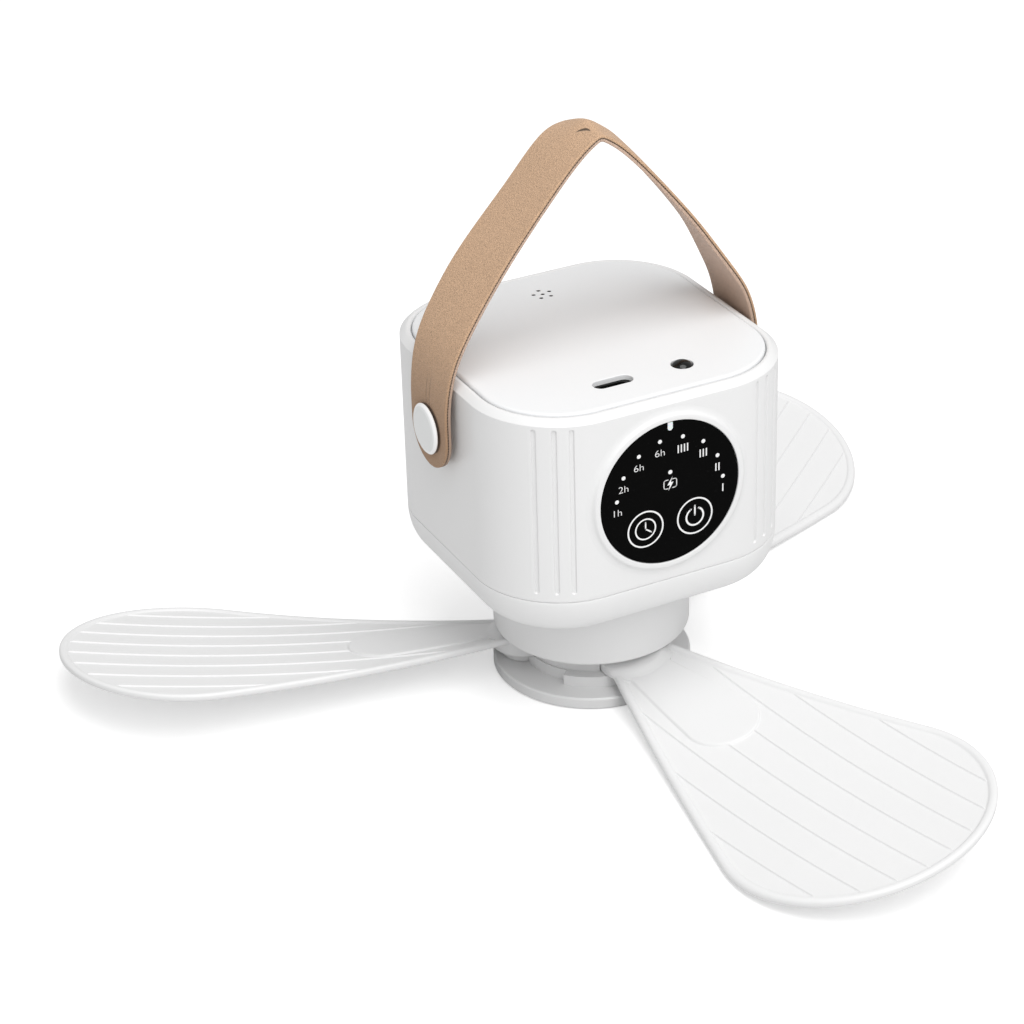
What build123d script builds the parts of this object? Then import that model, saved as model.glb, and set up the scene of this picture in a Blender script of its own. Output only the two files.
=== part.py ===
# Portable camping fan: hanging battery fan with three folding blades. Millimetres, +Z up.
# Origin on the rotor axis at the underside of the blade disc, dial towards -Y, rivets on +-X.
import os
from math import asin, atan2, cos, hypot, radians, sin, sqrt

from build123d import *

os.makedirs("parts", exist_ok=True)

# Clearances
run_fit = 0.05  # radial play of parts that turn on each other
press_gap = 0.01  # parts fastened together
race_gap = 0.02  # shaft in its bearings
loose_gap = 0.3  # soft strap, hub pockets
slide_gap = 0.1  # faces that slide over each other
past = 1.0  # how far a cutter runs past the face it cuts
drive_wide = 0.5  # cross recess of the screws
drive_deep = 0.8

# Housing
body_half = 50.0
body_corner = 28.7
wall = 2.7
cover_top = 115.2
cover_thick = 2.6
cover_bevel = 0.6
cover_low = cover_top - cover_thick
body_top = cover_top - 0.2
shoulder = 1.6
ledge_wide = 2.8
ledge_high = 2.0
seam_z = 54.3
seam_chamfer = 0.25
cup_floor = 42.1
cup_round = 6.9
cup_bands = 5
floor_top = cup_floor + wall
inner_half = body_half - wall
inner_corner = body_corner - wall
cover_half = inner_half - loose_gap
cover_corner = inner_corner + 1.2
ledge_half = inner_half - ledge_wide
lip_wide = 1.4
lip_high = 2.0
boss_inset = 17.0
boss_at = body_half - boss_inset
boss_r = 4.0
boss_top = seam_z + 9.7
web_thick = 2.0
web_low = seam_z + lip_high + 0.3
screw_r = 1.5
screw_head_r = 2.8
screw_head = 2.0
screw_well = 3.5

# Neck and motor seat
neck_r = 31.3
neck_wall = 2.5
neck_bevel = 0.8
neck_flare = 2.8
neck_bore = neck_r - neck_wall
neck_low = 15.9
neck_floor = neck_low + 2.4
seat_r = neck_r + 5.7
mount_z = floor_top + 4.2
mount_r = seat_r - 0.8
mount_thick = 2.2
mount_screw_r = 1.4
mount_screw_at = (neck_bore + seat_r) / 2
mount_head_r = 2.6
mount_head = 1.6
mount_vent_at = neck_bore - 6.8
mount_vent_r = 4.5

# Flutes on the corner arcs, three on each half
flute_angles = (21.2, 31.5, 43.5)
flute_r = 0.62
flute_out = 0.15
flute_low = seam_z + 2.6
flute_high = body_top - 2.4

# Dial
dial_z = 84.46
panel_r = 23.2
panel_thick = 1.4
panel_front = -(body_half + 0.9)
dial_r = panel_r + 2.4
dial_front = -(body_half + 1.14)
dial_bevel = 0.6
dial_root = 1.1
window_r = panel_r - 1.7
board_r = window_r - 0.2
board_thick = 1.6
board_back = -(inner_half - 0.2)
board_seat = 1.8
ledge_in = board_r - 2.3
notch_wide = 1.8
notch_tall = 2.7
led_size = (1.6, 0.6, 0.8)
dot_r = 18.0
dot_angles = (-86.6, -61.9, -37.1, -12.4, 12.4, 37.1, 61.9, 86.6)
charge_dots = (6.7, 3.0)

# Features of the cover
usb_at = (-8.9, -(cover_half - 14.5))
usb_long = 13.0
usb_wide = 5.2
usb_mouth = (8.4, 2.6)
usb_tongue = (6.6, 0.7)
usb_shell = (usb_long - 0.8, usb_wide - 0.6)
usb_deep = 6.8
socket_sunk = 0.2
dome_at = (14.6, -(cover_half - 14.6))
dome_r = 3.3
dome_low = cover_top - 0.8
dome_high = 1.9
dome_edge = 0.2
vent_at = (1.7, cover_half - 14.8)
vent_ring = 2.9
vent_r = 0.65
skirt_wall = 1.3
skirt_high = 3.4
buzzer_r = 6.0
buzzer_hole_r = 1.0
buzzer_hole_deep = 1.2
main_board_z = cover_low - 10.6
board_size = (60.0, 2 * (cover_half - 7.0))
post_inset = 4.0
post_r = 3.0
post_at = (board_size[0] / 2 - post_inset, board_size[1] / 2 - post_inset)
small_screw_r = 1.0
small_head_r = 2.0
small_head = 1.2
small_screw_long = 7.5

# Cells
cell_r = (inner_half - 10.5) / 4
cell_long = 2 * inner_half - 30.1
cell_button = 0.5
cell_button_r = 3.0
cell_half = (cell_long + cell_button) / 2
cradle_thick = 1.6
cell_z = boss_top + cradle_thick + cell_r
cell_pitch = 2 * cell_r + 0.2
cell_rows = (-1.5, -0.5, 0.5, 1.5)
tab_thick = 0.3
tab_slot = 3.0
tab_tall = 4.0
cradle_long = cell_half + tab_slot + cradle_thick
cradle_wide = 2 * cell_pitch + cradle_thick

# Motor
shaft_r = 3.0
column_r = shaft_r + 5.0
neck_hole = column_r + 1.0
can_gap = 4.8
can_r = neck_bore - can_gap
bearing_r = can_r - 14.5
bearing_wide = 6.0
tube_r = bearing_r + 2.0
tube_step = 1.2
can_wall = 1.6
can_bevel = 0.8
can_low = neck_floor + 2.2
magnet_thick = 1.8
magnet_arc = 27
magnets = 12
air_gap = 0.6
stator_r = can_r - can_wall - magnet_thick - air_gap
low_bearing_z = can_low + 3.5
high_bearing_z = mount_z - 7.0
stator_low = low_bearing_z + 3.0
stator_high = high_bearing_z - 3.0
can_high = high_bearing_z + 1.5
slots = 9
tooth = 2.6
yoke = 2.1
shoe = 1.6
coil_wide = 6.0
coil_over = 1.7
coil_gap = 0.5
shoe_gap = 2.0
magnet_over = 3.0
shaft_over = 1.5
clip_thick = 0.8
clip_r = shaft_r + 2.0
clip_groove = 0.4
clip_gap = 2.4

# Hub and disc
phases = (-82.55, 37.45, 157.45)
disc_r = neck_r + 0.4
disc_top = 3.9
disc_bevel = 0.5
pin_at = disc_r - 9.7
pin_r = 2.5
pin_head_r = 4.2
pin_head = 1.6
pin_foot = 1.2
pin_well = 0.4
pad_r = 7.0
knuckle_r = 10.5
ring_top = disc_top + 3.7
ring_r = pin_at + 2.9
trough_r = pin_at
cusp_angle = 63.35
flange_r = pin_at - 0.7
flange_top = ring_top + 2.6
knuckle_top = neck_low - 0.7
bore_floor = ring_top + 3.2
washer_thick = 0.4
hub_screw_at = flange_r - 7.3
hub_screw_r = 1.25
hub_screw_well = 1.8
hub_screw_sunk = 0.4
shaft_low = disc_top + 1.1

# Blades
root_u = pin_at + 9.5
root_half = 11.96
tip_u = 129.3
tip_long = 40.1
tip_half = 41.0
blade_thick = 1.66
blade_base = disc_top + 2.04
blade_rise = 0.0391
blade_curve = 7.52
mid_u = 101.85
span_u = 92.59
pitch_mid = 12.67
pitch_fall = 1.99
rim_inset = 0.35
rim_wide = 2.8
rim_high = 0.75
rib_high = 0.35
rib_wide = 0.7
rib_rows = (4.55, 13.65, 22.75, 31.85)
tongue_high = 0.7
tongue_u = 66.0
tongue_long = 12.3
tongue_half = 11.75
tongue_root = 6.0
tongue_shift = 0.85
tongue_lean = -1.4
tongue_start = 4.0
blade_tall = 40.0

# Strap and rivets
strap_wide = 25.0
strap_outer_thick = 1.3
strap_lining_thick = 1.1
strap_thick = strap_outer_thick + strap_lining_thick
spacer_thick = 0.8
spacer_r = 6.0
strap_side = body_half + spacer_thick + loose_gap + strap_thick
rivet_z = 97.0
cap_r = 8.0
cap_high = 3.2
cap_edge = 0.6
shank_r = 2.5
tail_r = 3.8
tail_high = 1.2
washer_r = 5.5
washer_wide = 1.0
strap_lean = 49.2
strap_bend_z = rivet_z + 29.3
strap_bend_r = 50.0
strap_peak_r = 6.8


def squircle(half, radius, low, high):
    return Pos(0, 0, low) * extrude(RectangleRounded(2 * half, 2 * half, radius), high - low)


def post(radius, low, high, x=0.0, y=0.0):
    return Pos(x, y, low) * extrude(Circle(radius), high - low)


def tube(outer, inner, low, high, x=0.0, y=0.0):
    return post(outer, low, high, x, y) - post(inner, low - 1, high + 1, x, y)


def rod_x(radius, x0, x1, y, z):
    return extrude(Plane(origin=(x0, y, z), x_dir=(0, 1, 0), z_dir=(1, 0, 0)) * Circle(radius), x1 - x0)


def rod_y(radius, y0, y1, x, z):
    return extrude(Plane(origin=(x, y0, z), x_dir=(1, 0, 0), z_dir=(0, 1, 0)) * Circle(radius), y1 - y0)


def brick(x0, x1, y0, y1, z0, z1):
    return Pos((x0 + x1) / 2, (y0 + y1) / 2, (z0 + z1) / 2) * Box(abs(x1 - x0), abs(y1 - y0), z1 - z0)


def polar(radius, angle):
    return radius * cos(radians(angle)), radius * sin(radians(angle))


def dome(radius, edge, high, bands=4):
    # Cap on a short straight edge, standing on z = 0, in bands along a circular arc.
    rise = high - edge
    ball = (radius**2 + rise**2) / (2 * rise)
    reach = asin(radius / ball)
    rim = [(ball * sin(reach * step / bands), high - ball + ball * cos(reach * step / bands))
           for step in range(bands, -1, -1)]
    return revolve(Plane.XZ * Polygon((0, 0), (radius, 0), *rim, align=None), Axis.Z)


def edges_at(shape, z):
    return shape.edges().filter_by(lambda e: abs(e.bounding_box().min.Z - z) < 1e-4
                                   and abs(e.bounding_box().max.Z - z) < 1e-4)


def save(name, *shapes):
    solids = [solid for shape in shapes for solid in shape.solids()]
    export_step(Compound(children=solids) if len(solids) > 1 else solids[0], f"parts/{name}.step")


def screw(head_r, head_low, head_high, end_z, radius, x, y):
    # Head with a cross recess on the side away from the shank.
    upward = end_z > head_high
    low, high = (head_high, end_z) if upward else (end_z, head_low)
    body = post(head_r, head_low, head_high, x, y) + post(radius, low, high, x, y)
    face = Pos(x, y, head_low if upward else head_high)
    return body - face * Box(head_r, drive_wide, drive_deep) - face * Box(drive_wide, head_r, drive_deep)


corners = [(sx, sy) for sx in (-1, 1) for sy in (-1, 1)]
mount_screws = [polar(mount_screw_at, angle) for angle in (30, 150, 270)]
hub_screws = [polar(hub_screw_at, phase + 60) for phase in phases]

# ---- main housing: fluted sleeve with the dial ring ----
sleeve = squircle(body_half, body_corner, seam_z, body_top)
sleeve = fillet(edges_at(sleeve, body_top), shoulder)
sleeve = chamfer(edges_at(sleeve, seam_z), seam_chamfer)
sleeve -= squircle(inner_half, inner_corner, seam_z - past, cover_low - ledge_high)
sleeve -= squircle(ledge_half, inner_corner - ledge_wide, seam_z, body_top + past)
sleeve -= squircle(inner_half, inner_corner, cover_low, body_top + past)
wall_reach = body_half - body_corner + (inner_corner + wall / 2) / sqrt(2)
web_long = (wall_reach - boss_at) * sqrt(2)
for sx, sy in corners:
    boss = post(boss_r, seam_z, boss_top, sx * boss_at, sy * boss_at)
    web = Rot(0, 0, 45 * sx * sy) * Box(web_long, web_thick, boss_top - web_low)
    web_at = (boss_at + wall_reach) / 2
    sleeve += boss + Pos(sx * web_at, sy * web_at, (web_low + boss_top) / 2) * web
    sleeve -= post(screw_r + press_gap, seam_z - past, boss_top - wall / 2, sx * boss_at, sy * boss_at)
ring = rod_y(dial_r, dial_front, -(inner_half + wall / 4), 0, dial_z)
ring = chamfer(ring.edges().filter_by(lambda e: e.bounding_box().max.Y < dial_front + 0.01), dial_bevel)
sleeve += ring
sleeve += rod_y(dial_r - dial_root, -(inner_half + wall / 4), board_back + board_seat, 0, dial_z)
sleeve -= rod_y(panel_r + slide_gap, dial_front - past, panel_front + panel_thick, 0, dial_z)
sleeve -= rod_y(window_r, dial_front, board_back, 0, dial_z)
sleeve -= rod_y(ledge_in, dial_front, board_back + board_seat + past, 0, dial_z)
arc_centre = body_half - body_corner
for sx, sy in corners:
    for angle in flute_angles:
        radius = body_corner + flute_out
        x = sx * (arc_centre + radius * sin(radians(angle)))
        y = sy * (arc_centre + radius * cos(radians(angle)))
        sleeve -= post(flute_r, flute_low, flute_high, x, y)
for side in (-1, 1):
    sleeve -= rod_x(shank_r + press_gap, side * (body_half + past), side * (inner_half - past), 0, rivet_z)
save("main_housing", sleeve)

# ---- top cover ----
cover = squircle(cover_half, cover_corner, cover_low, cover_top)
cover = chamfer(edges_at(cover, cover_top), cover_bevel)
skirt_half = ledge_half - loose_gap
skirt = squircle(skirt_half, inner_corner - ledge_wide, cover_low - skirt_high, cover_low)
skirt -= squircle(skirt_half - skirt_wall, inner_corner - ledge_wide - skirt_wall,
                  cover_low - skirt_high - past, cover_low)
cover += skirt
cover += [post(post_r, main_board_z + board_thick, cover_low, sx * post_at[0], sy * post_at[1])
          for sx, sy in corners]
cover -= Pos(*usb_at, cover_low - past) * extrude(SlotOverall(usb_long, usb_wide), cover_thick + 2 * past)
cover -= post(dome_r + slide_gap, cover_low - past, cover_top + past, *dome_at)
vents = [(vent_at[0], vent_at[1])]
for index in range(5):
    dx, dy = polar(vent_ring, 90 + 72 * index)
    vents.append((vent_at[0] + dx, vent_at[1] + dy))
for x, y in vents:
    cover -= post(vent_r, cover_low - past, cover_top + past, x, y)
for sx, sy in corners:
    cover -= post(small_screw_r + press_gap, main_board_z, main_board_z + small_screw_long + past / 2,
                  sx * post_at[0], sy * post_at[1])
save("top_cover", cover)

# ---- lower housing: cup and neck ----
# The cup rounds in as a quarter ellipse, in straight bands between rounded squares.
turns = [index * 90 / cup_bands for index in range(cup_bands + 1)]
insets = [cup_round * (1 - cos(radians(turn))) for turn in turns]
levels = [seam_z - (seam_z - cup_floor) * sin(radians(turn)) for turn in turns]
cup = Part()
for index in range(cup_bands):
    upper = RectangleRounded(2 * (body_half - insets[index]), 2 * (body_half - insets[index]),
                             body_corner - insets[index])
    lower = RectangleRounded(2 * (body_half - insets[index + 1]), 2 * (body_half - insets[index + 1]),
                             body_corner - insets[index + 1])
    cup += loft([Pos(0, 0, levels[index + 1]) * lower, Pos(0, 0, levels[index]) * upper], ruled=True)
hollow = squircle(inner_half, inner_corner, floor_top, seam_z + past)
hollow = chamfer(edges_at(hollow, floor_top), cup_round / 2)
cup -= hollow
lip = squircle(inner_half + wall / 4, inner_corner, seam_z - 1.5 * lip_high, seam_z)
lip += squircle(inner_half - slide_gap, inner_corner, seam_z - lip_high / 2, seam_z + lip_high)
lip -= squircle(inner_half - lip_wide, inner_corner - lip_wide, floor_top, seam_z + lip_high + past)
neck = post(neck_r, neck_low, floor_top)
neck = chamfer(edges_at(neck, neck_low), neck_bevel)
# Hollow fillet between the neck and the underside of the cup, as three straight bands.
flare = [(neck_r - wall, cup_floor + wall / 2), (neck_r + neck_flare, cup_floor + wall / 2)]
for turn in (0, 30, 60, 90):
    flare.append((neck_r + neck_flare * (1 - sin(radians(turn))),
                  cup_floor - neck_flare * (1 - cos(radians(turn)))))
flare.append((neck_r - wall, cup_floor - neck_flare))
cup += neck + revolve(Plane.XZ * Polygon(*flare, align=None), Axis.Z)
cup += tube(seat_r, neck_bore, floor_top - wall / 2, mount_z)
for sx, sy in corners:
    cup += post(boss_r, floor_top - wall / 2, seam_z - run_fit, sx * boss_at, sy * boss_at)
cup += lip
cup -= post(neck_bore, neck_floor, mount_z + past)
cup -= post(neck_hole, neck_low - past, neck_floor + past)
for sx, sy in corners:
    cup -= post(screw_head_r + 0.4, cup_floor - past, cup_floor + screw_well, sx * boss_at, sy * boss_at)
    cup -= post(screw_r + slide_gap, cup_floor, seam_z + past, sx * boss_at, sy * boss_at)
for x, y in mount_screws:
    cup -= post(mount_screw_r + press_gap, floor_top, mount_z + past, x, y)
save("lower_housing", cup)

# ---- control panel, light, boards ----
panel_back = panel_front + panel_thick
slot_top = dial_z + panel_r - run_fit
slot_low = slot_top - notch_tall
panel = rod_y(panel_r, panel_front, panel_back, 0, dial_z)
slot = brick(-notch_wide / 2, notch_wide / 2, panel_front - past, panel_back + past,
             slot_low, slot_top + past)
save("control_panel", panel - slot)
pipe_half = notch_wide / 2 - run_fit
pipe = brick(-pipe_half, pipe_half, panel_front, panel_back, slot_low + run_fit, slot_top)
pipe = fillet(pipe.edges().filter_by(Axis.Y), notch_wide / 6)
pipe &= rod_y(panel_r, panel_front - past, panel_back + past, 0, dial_z)
save("status_light_pipe", pipe)
save("touch_board", rod_y(board_r, board_back - board_thick, board_back, 0, dial_z))
led_spots = [(dot_r * sin(radians(angle)), dot_r * cos(radians(angle))) for angle in dot_angles]
led_spots += [(0.0, rise) for rise in charge_dots]
led_y = board_back - board_thick - led_size[1] / 2
save("indicator_leds", *[Pos(x, led_y, dial_z + rise) * Box(*led_size) for x, rise in led_spots])

board = Pos(0, 0, main_board_z) * extrude(RectangleRounded(*board_size, post_r), board_thick)
for sx, sy in corners:
    board -= post(small_screw_r + slide_gap, main_board_z - past, main_board_z + board_thick + past,
                  sx * post_at[0], sy * post_at[1])
save("main_board", board)
save("board_screws", *[screw(small_head_r, main_board_z - small_head, main_board_z,
                             main_board_z + small_screw_long, small_screw_r,
                             sx * post_at[0], sy * post_at[1]) for sx, sy in corners])
socket_low = main_board_z + board_thick
socket_high = cover_low - socket_sunk
socket = Pos(*usb_at, socket_low) * extrude(SlotOverall(*usb_shell), socket_high - socket_low)
socket -= Pos(*usb_at, socket_high - usb_deep) * extrude(SlotOverall(*usb_mouth), usb_deep + past)
socket += Pos(*usb_at, socket_high - usb_deep / 2) * Box(*usb_tongue, usb_deep)
save("usb_c_socket", socket)
receiver = post(dome_r, socket_low, dome_low + slide_gap, *dome_at)
receiver += Pos(*dome_at, dome_low) * dome(dome_r, dome_edge, dome_high)
save("ir_receiver", receiver)
buzzer_top = cover_low - slide_gap
buzzer = post(buzzer_r, socket_low, buzzer_top, *vent_at)
buzzer -= post(buzzer_hole_r, buzzer_top - buzzer_hole_deep, buzzer_top + past, *vent_at)
save("buzzer", buzzer)

# ---- cells ----
cells = []
for row in cell_rows:
    cell = rod_x(cell_r, -cell_half, -cell_half + cell_long, row * cell_pitch, cell_z)
    cell += rod_x(cell_button_r, 0, cell_half, row * cell_pitch, cell_z)
    cells.append(cell)
save("battery_cells", *cells)
cradle = brick(-cradle_long, cradle_long, -cradle_wide, cradle_wide, boss_top, cell_z)
for row in cell_rows:
    cradle -= rod_x(cell_r + press_gap, -cell_half, cell_half, row * cell_pitch, cell_z)
slot_half = cradle_wide - cradle_thick
cradle -= [brick(side * (cell_half - slide_gap), side * (cell_half + tab_slot), -slot_half, slot_half,
                 boss_top + cradle_thick, cell_z + past) for side in (-1, 1)]
save("battery_cradle", cradle)
tab_half = cell_rows[-1] * cell_pitch + tab_tall
save("cell_tabs", *[brick(side * cell_half, side * (cell_half + tab_thick), -tab_half, tab_half,
                          cell_z - tab_tall, cell_z + tab_tall) for side in (-1, 1)])

# ---- motor ----
mount_top = mount_z + mount_thick
mount = post(mount_r, mount_z, mount_top) + post(tube_r, low_bearing_z, mount_z + mount_thick / 2)
mount -= post(bearing_r - tube_step, low_bearing_z - past, mount_top + past)
mount -= post(bearing_r, low_bearing_z - past, low_bearing_z + bearing_wide)
mount -= post(bearing_r, high_bearing_z, mount_top + past)
for x, y in mount_screws:
    mount -= post(mount_screw_r + slide_gap, mount_z - past, mount_top + past, x, y)
for angle in (90, 210, 330):
    mount -= post(mount_vent_r, mount_z - past, mount_top + past, *polar(mount_vent_at, angle))
save("motor_mount", mount)
save("motor_screws", *[screw(mount_head_r, mount_top, mount_top + mount_head, floor_top + press_gap,
                             mount_screw_r, x, y) for x, y in mount_screws])
save("lower_bearing", tube(bearing_r, shaft_r + race_gap, low_bearing_z, low_bearing_z + bearing_wide))
save("upper_bearing", tube(bearing_r, shaft_r + race_gap, high_bearing_z, high_bearing_z + bearing_wide))

yoke_r = tube_r + yoke
core = tube(yoke_r, tube_r, stator_low, stator_high)
shoes = tube(stator_r, stator_r - shoe, stator_low, stator_high)
coil_in = yoke_r + coil_gap
coil_out = stator_r - shoe - coil_gap
coils = []
for index in range(slots):
    spin = Rot(0, 0, index * 360 / slots)
    core += spin * brick(yoke_r - yoke / 2, stator_r - shoe / 2, -tooth / 2, tooth / 2,
                         stator_low, stator_high)
    between = Rot(0, 0, (index + 0.5) * 360 / slots)
    shoes -= between * brick(stator_r - 2 * shoe, stator_r + shoe, -shoe_gap / 2, shoe_gap / 2,
                             stator_low - past, stator_high + past)
    coil = brick(coil_in, coil_out, -coil_wide / 2, coil_wide / 2,
                 stator_low - coil_over, stator_high + coil_over)
    coils.append(spin * (coil - brick(coil_in - past, coil_out + past, -tooth / 2, tooth / 2,
                                      stator_low, stator_high)))
save("stator_core", core + shoes)
save("stator_windings", *coils)
can = post(can_r, can_low, can_high) - post(can_r - can_wall, can_low + can_wall, can_high + past)
can = chamfer(edges_at(can, can_low), can_bevel)
can -= post(shaft_r + press_gap, can_low - past, can_low + can_wall + past)
save("rotor_can", can)
magnet_at = can_r - can_wall - magnet_thick / 2
magnet_long = stator_high - stator_low + 2 * magnet_over
profile = Plane.XZ * Pos(magnet_at, (stator_low + stator_high) / 2) * Rectangle(magnet_thick, magnet_long)
magnet = revolve(profile, Axis.Z, revolution_arc=magnet_arc)
save("rotor_magnets", *[Rot(0, 0, 360 * index / magnets) * magnet for index in range(magnets)])
shaft = post(shaft_r, shaft_low, mount_z + shaft_over)
shaft = chamfer(shaft.edges(), clip_groove)
clip_z = high_bearing_z + bearing_wide + run_fit
shaft -= tube(shaft_r + past, shaft_r - clip_groove, clip_z, clip_z + clip_thick)
save("motor_shaft", shaft)
clip = tube(clip_r, shaft_r - clip_groove, clip_z, clip_z + clip_thick)
clip -= brick(0, clip_r + past, -clip_gap / 2, clip_gap / 2, clip_z - past, clip_z + clip_thick + past)
save("retaining_clip", clip)

# ---- hub ----
hub = post(trough_r, disc_top, ring_top) + post(flange_r, ring_top, flange_top)
lug_in = trough_r - 2 * past
lug_face = Plane.XZ * Pos((ring_r + lug_in) / 2, (disc_top + ring_top) / 2) * Rectangle(
    ring_r - lug_in, ring_top - disc_top)
lug = revolve(lug_face, Axis.Z, revolution_arc=120 - cusp_angle)
for phase in phases:
    hub += Rot(0, 0, phase + cusp_angle) * lug
for phase in phases:
    x, y = polar(pin_at, phase)
    hub -= post(pad_r + loose_gap, disc_top - past, ring_top + past, x, y)
    hub -= post(knuckle_r + loose_gap, ring_top, flange_top + past, x, y)
hub += post(column_r, flange_top - past, can_low)
hub -= post(shaft_r + press_gap, shaft_low, can_low + past)
for x, y in hub_screws:
    hub -= post(hub_screw_r + press_gap, disc_top - past, flange_top - past, x, y)
save("hub_core", hub)

disc = post(disc_r, 0, disc_top)
disc = chamfer(edges_at(disc, disc_top) + edges_at(disc, 0), disc_bevel)
for phase in phases:
    disc -= post(pin_r + press_gap, pin_foot, disc_top + past, *polar(pin_at, phase))
for x, y in hub_screws:
    disc -= post(screw_head_r + slide_gap, -past, hub_screw_well, x, y)
    disc -= post(hub_screw_r + slide_gap, 0, disc_top + past, x, y)
save("blade_disc", disc)
save("hub_screws", *[screw(screw_head_r, hub_screw_sunk, hub_screw_well, flange_top - 1.5 * past,
                           hub_screw_r, x, y) for x, y in hub_screws])

head_low = bore_floor + washer_thick
pin_spots = [polar(pin_at, phase) for phase in phases]
save("pivot_pins", *[screw(pin_head_r, head_low, head_low + pin_head, pin_foot, pin_r, x, y)
                     for x, y in pin_spots])
save("friction_washers", *[tube(pin_head_r, pin_r + run_fit, bore_floor, head_low, x, y)
                           for x, y in pin_spots])

# ---- blades ----
# Height of the upper face at (u, v): height(u) + v * tilt(u), u along the blade, v across it.
tilt_mid = sin(radians(pitch_mid))
tilt_slope = -radians(pitch_fall) * cos(radians(pitch_mid)) / span_u
blade_end = tip_u + tip_long
skin_from = shaft_r
skin_to = blade_end + knuckle_r
skin_half = tip_half + knuckle_r


def height(u):
    return blade_base + blade_rise * u + blade_curve * ((u - mid_u) / span_u) ** 2


def height_slope(u):
    return blade_rise + 2 * blade_curve * (u - mid_u) / span_u**2


def tilt(u):
    return tilt_mid + tilt_slope * (u - mid_u)


def skin(low, high):
    # Slab that follows the twisted face; the middle row is the control row of the parabola.
    middle = (skin_from + skin_to) / 2
    control = height(skin_from) + height_slope(skin_from) * (middle - skin_from)
    rows = []
    for u, base in ((skin_from, height(skin_from)), (middle, control), (skin_to, height(skin_to))):
        rows.append([(u, v, base + v * tilt(u) + low) for v in (-skin_half, skin_half)])
    return extrude(Face.make_bezier_surface(rows), high - low, dir=(0, 0, 1))


def plan(inset):
    # Two straight sides from the root, tangent to the rounded tip.
    stretch = tip_half / tip_long
    reach = hypot((tip_u - root_u) * stretch, root_half)
    turn = asin((tip_half - inset) / reach) - atan2(root_half - inset, (tip_u - root_u) * stretch)
    length = sqrt(reach**2 - (tip_half - inset) ** 2)
    touch_u = root_u + length * cos(turn) / stretch
    touch_v = root_half - inset + length * sin(turn)
    slope = (touch_v - root_half + inset) / (touch_u - root_u)
    start_v = root_half - inset - slope * (root_u - pin_at)
    sides = Polygon((pin_at, -start_v), (touch_u, -touch_v), (touch_u, touch_v), (pin_at, start_v),
                    align=None)
    return sides + Pos(tip_u, 0) * Ellipse(tip_long - inset, tip_half - inset)


def column(sketch):
    return extrude(sketch, blade_tall)


plate = skin(-blade_thick, 0) & column(plan(0))
rim = skin(-blade_thick / 2, rim_high) & (column(plan(rim_inset)) - column(plan(rim_wide)))
tongue_from = pin_at + tongue_start
tongue_plan = Polygon((tongue_from, tongue_lean - tongue_root), (tongue_u, tongue_shift - tongue_half),
                      (tongue_u, tongue_shift + tongue_half), (tongue_from, tongue_lean + tongue_root),
                      align=None)
tongue_plan += Pos(tongue_u, tongue_shift) * Ellipse(tongue_long, tongue_half)
tongue = skin(-blade_thick / 2, tongue_high) & column(tongue_plan)
rib_plan = Sketch()
for row in rib_rows:
    for side in (-1, 1):
        rib_plan += Pos((pin_at + blade_end) / 2, side * row) * Rectangle(blade_end - pin_at, rib_wide)
ribs = skin(-blade_thick / 2, rib_high) & (column(rib_plan) & column(plan(rim_wide / 2)))
ribs -= column(tongue_plan)
ribs -= post(knuckle_r, 0, blade_tall, pin_at, 0)
boss = post(knuckle_r, ring_top + slide_gap, knuckle_top, pin_at, 0) & skin(-knuckle_top, tongue_high)
blade = plate + rim + tongue + ribs + boss
blade += post(pad_r, disc_top + slide_gap, (ring_top + bore_floor) / 2, pin_at, 0)
blade -= post(pin_r + run_fit, 0, blade_tall, pin_at, 0)
blade -= post(pin_head_r + pin_well, bore_floor, blade_tall, pin_at, 0)
for index, phase in enumerate(phases):
    save(f"blade_{index + 1}", Rot(0, 0, phase) * blade)

# ---- strap and rivets ----
strap_half = strap_wide / 2
strap_reach = strap_side + strap_half


def strap_outline(depth):
    # Filled arch: upright sides, straight arms that meet above the body, rounded bends.
    lean = radians(strap_lean)
    side = strap_side - depth
    foot_z = rivet_z - 2 * strap_half
    bend_z = strap_bend_z - depth * (1 - sin(lean)) / cos(lean)
    peak_z = bend_z + side * sin(lean) / cos(lean)
    arch = Polygon((-side, foot_z), (side, foot_z), (side, bend_z), (0, peak_z), (-side, bend_z), align=None)
    arch = fillet(arch.vertices().sort_by(Axis.Y)[2:4], strap_bend_r - depth)
    return fillet(arch.vertices().sort_by(Axis.Y)[-1], strap_peak_r - depth)


def strap_band(outer, inner):
    band = extrude(Plane.XZ * (strap_outline(outer) - strap_outline(inner)), strap_half, both=True)
    ends = rod_x(strap_half, -strap_reach, strap_reach, 0, rivet_z)
    ends += brick(-strap_reach, strap_reach, -strap_half, strap_half, rivet_z, 3 * rivet_z)
    band &= ends
    return band - rod_x(shank_r + loose_gap, -strap_reach, strap_reach, 0, rivet_z)


save("strap_outer", strap_band(0, strap_outer_thick))
save("strap_lining", strap_band(strap_outer_thick + press_gap, strap_thick))

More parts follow.
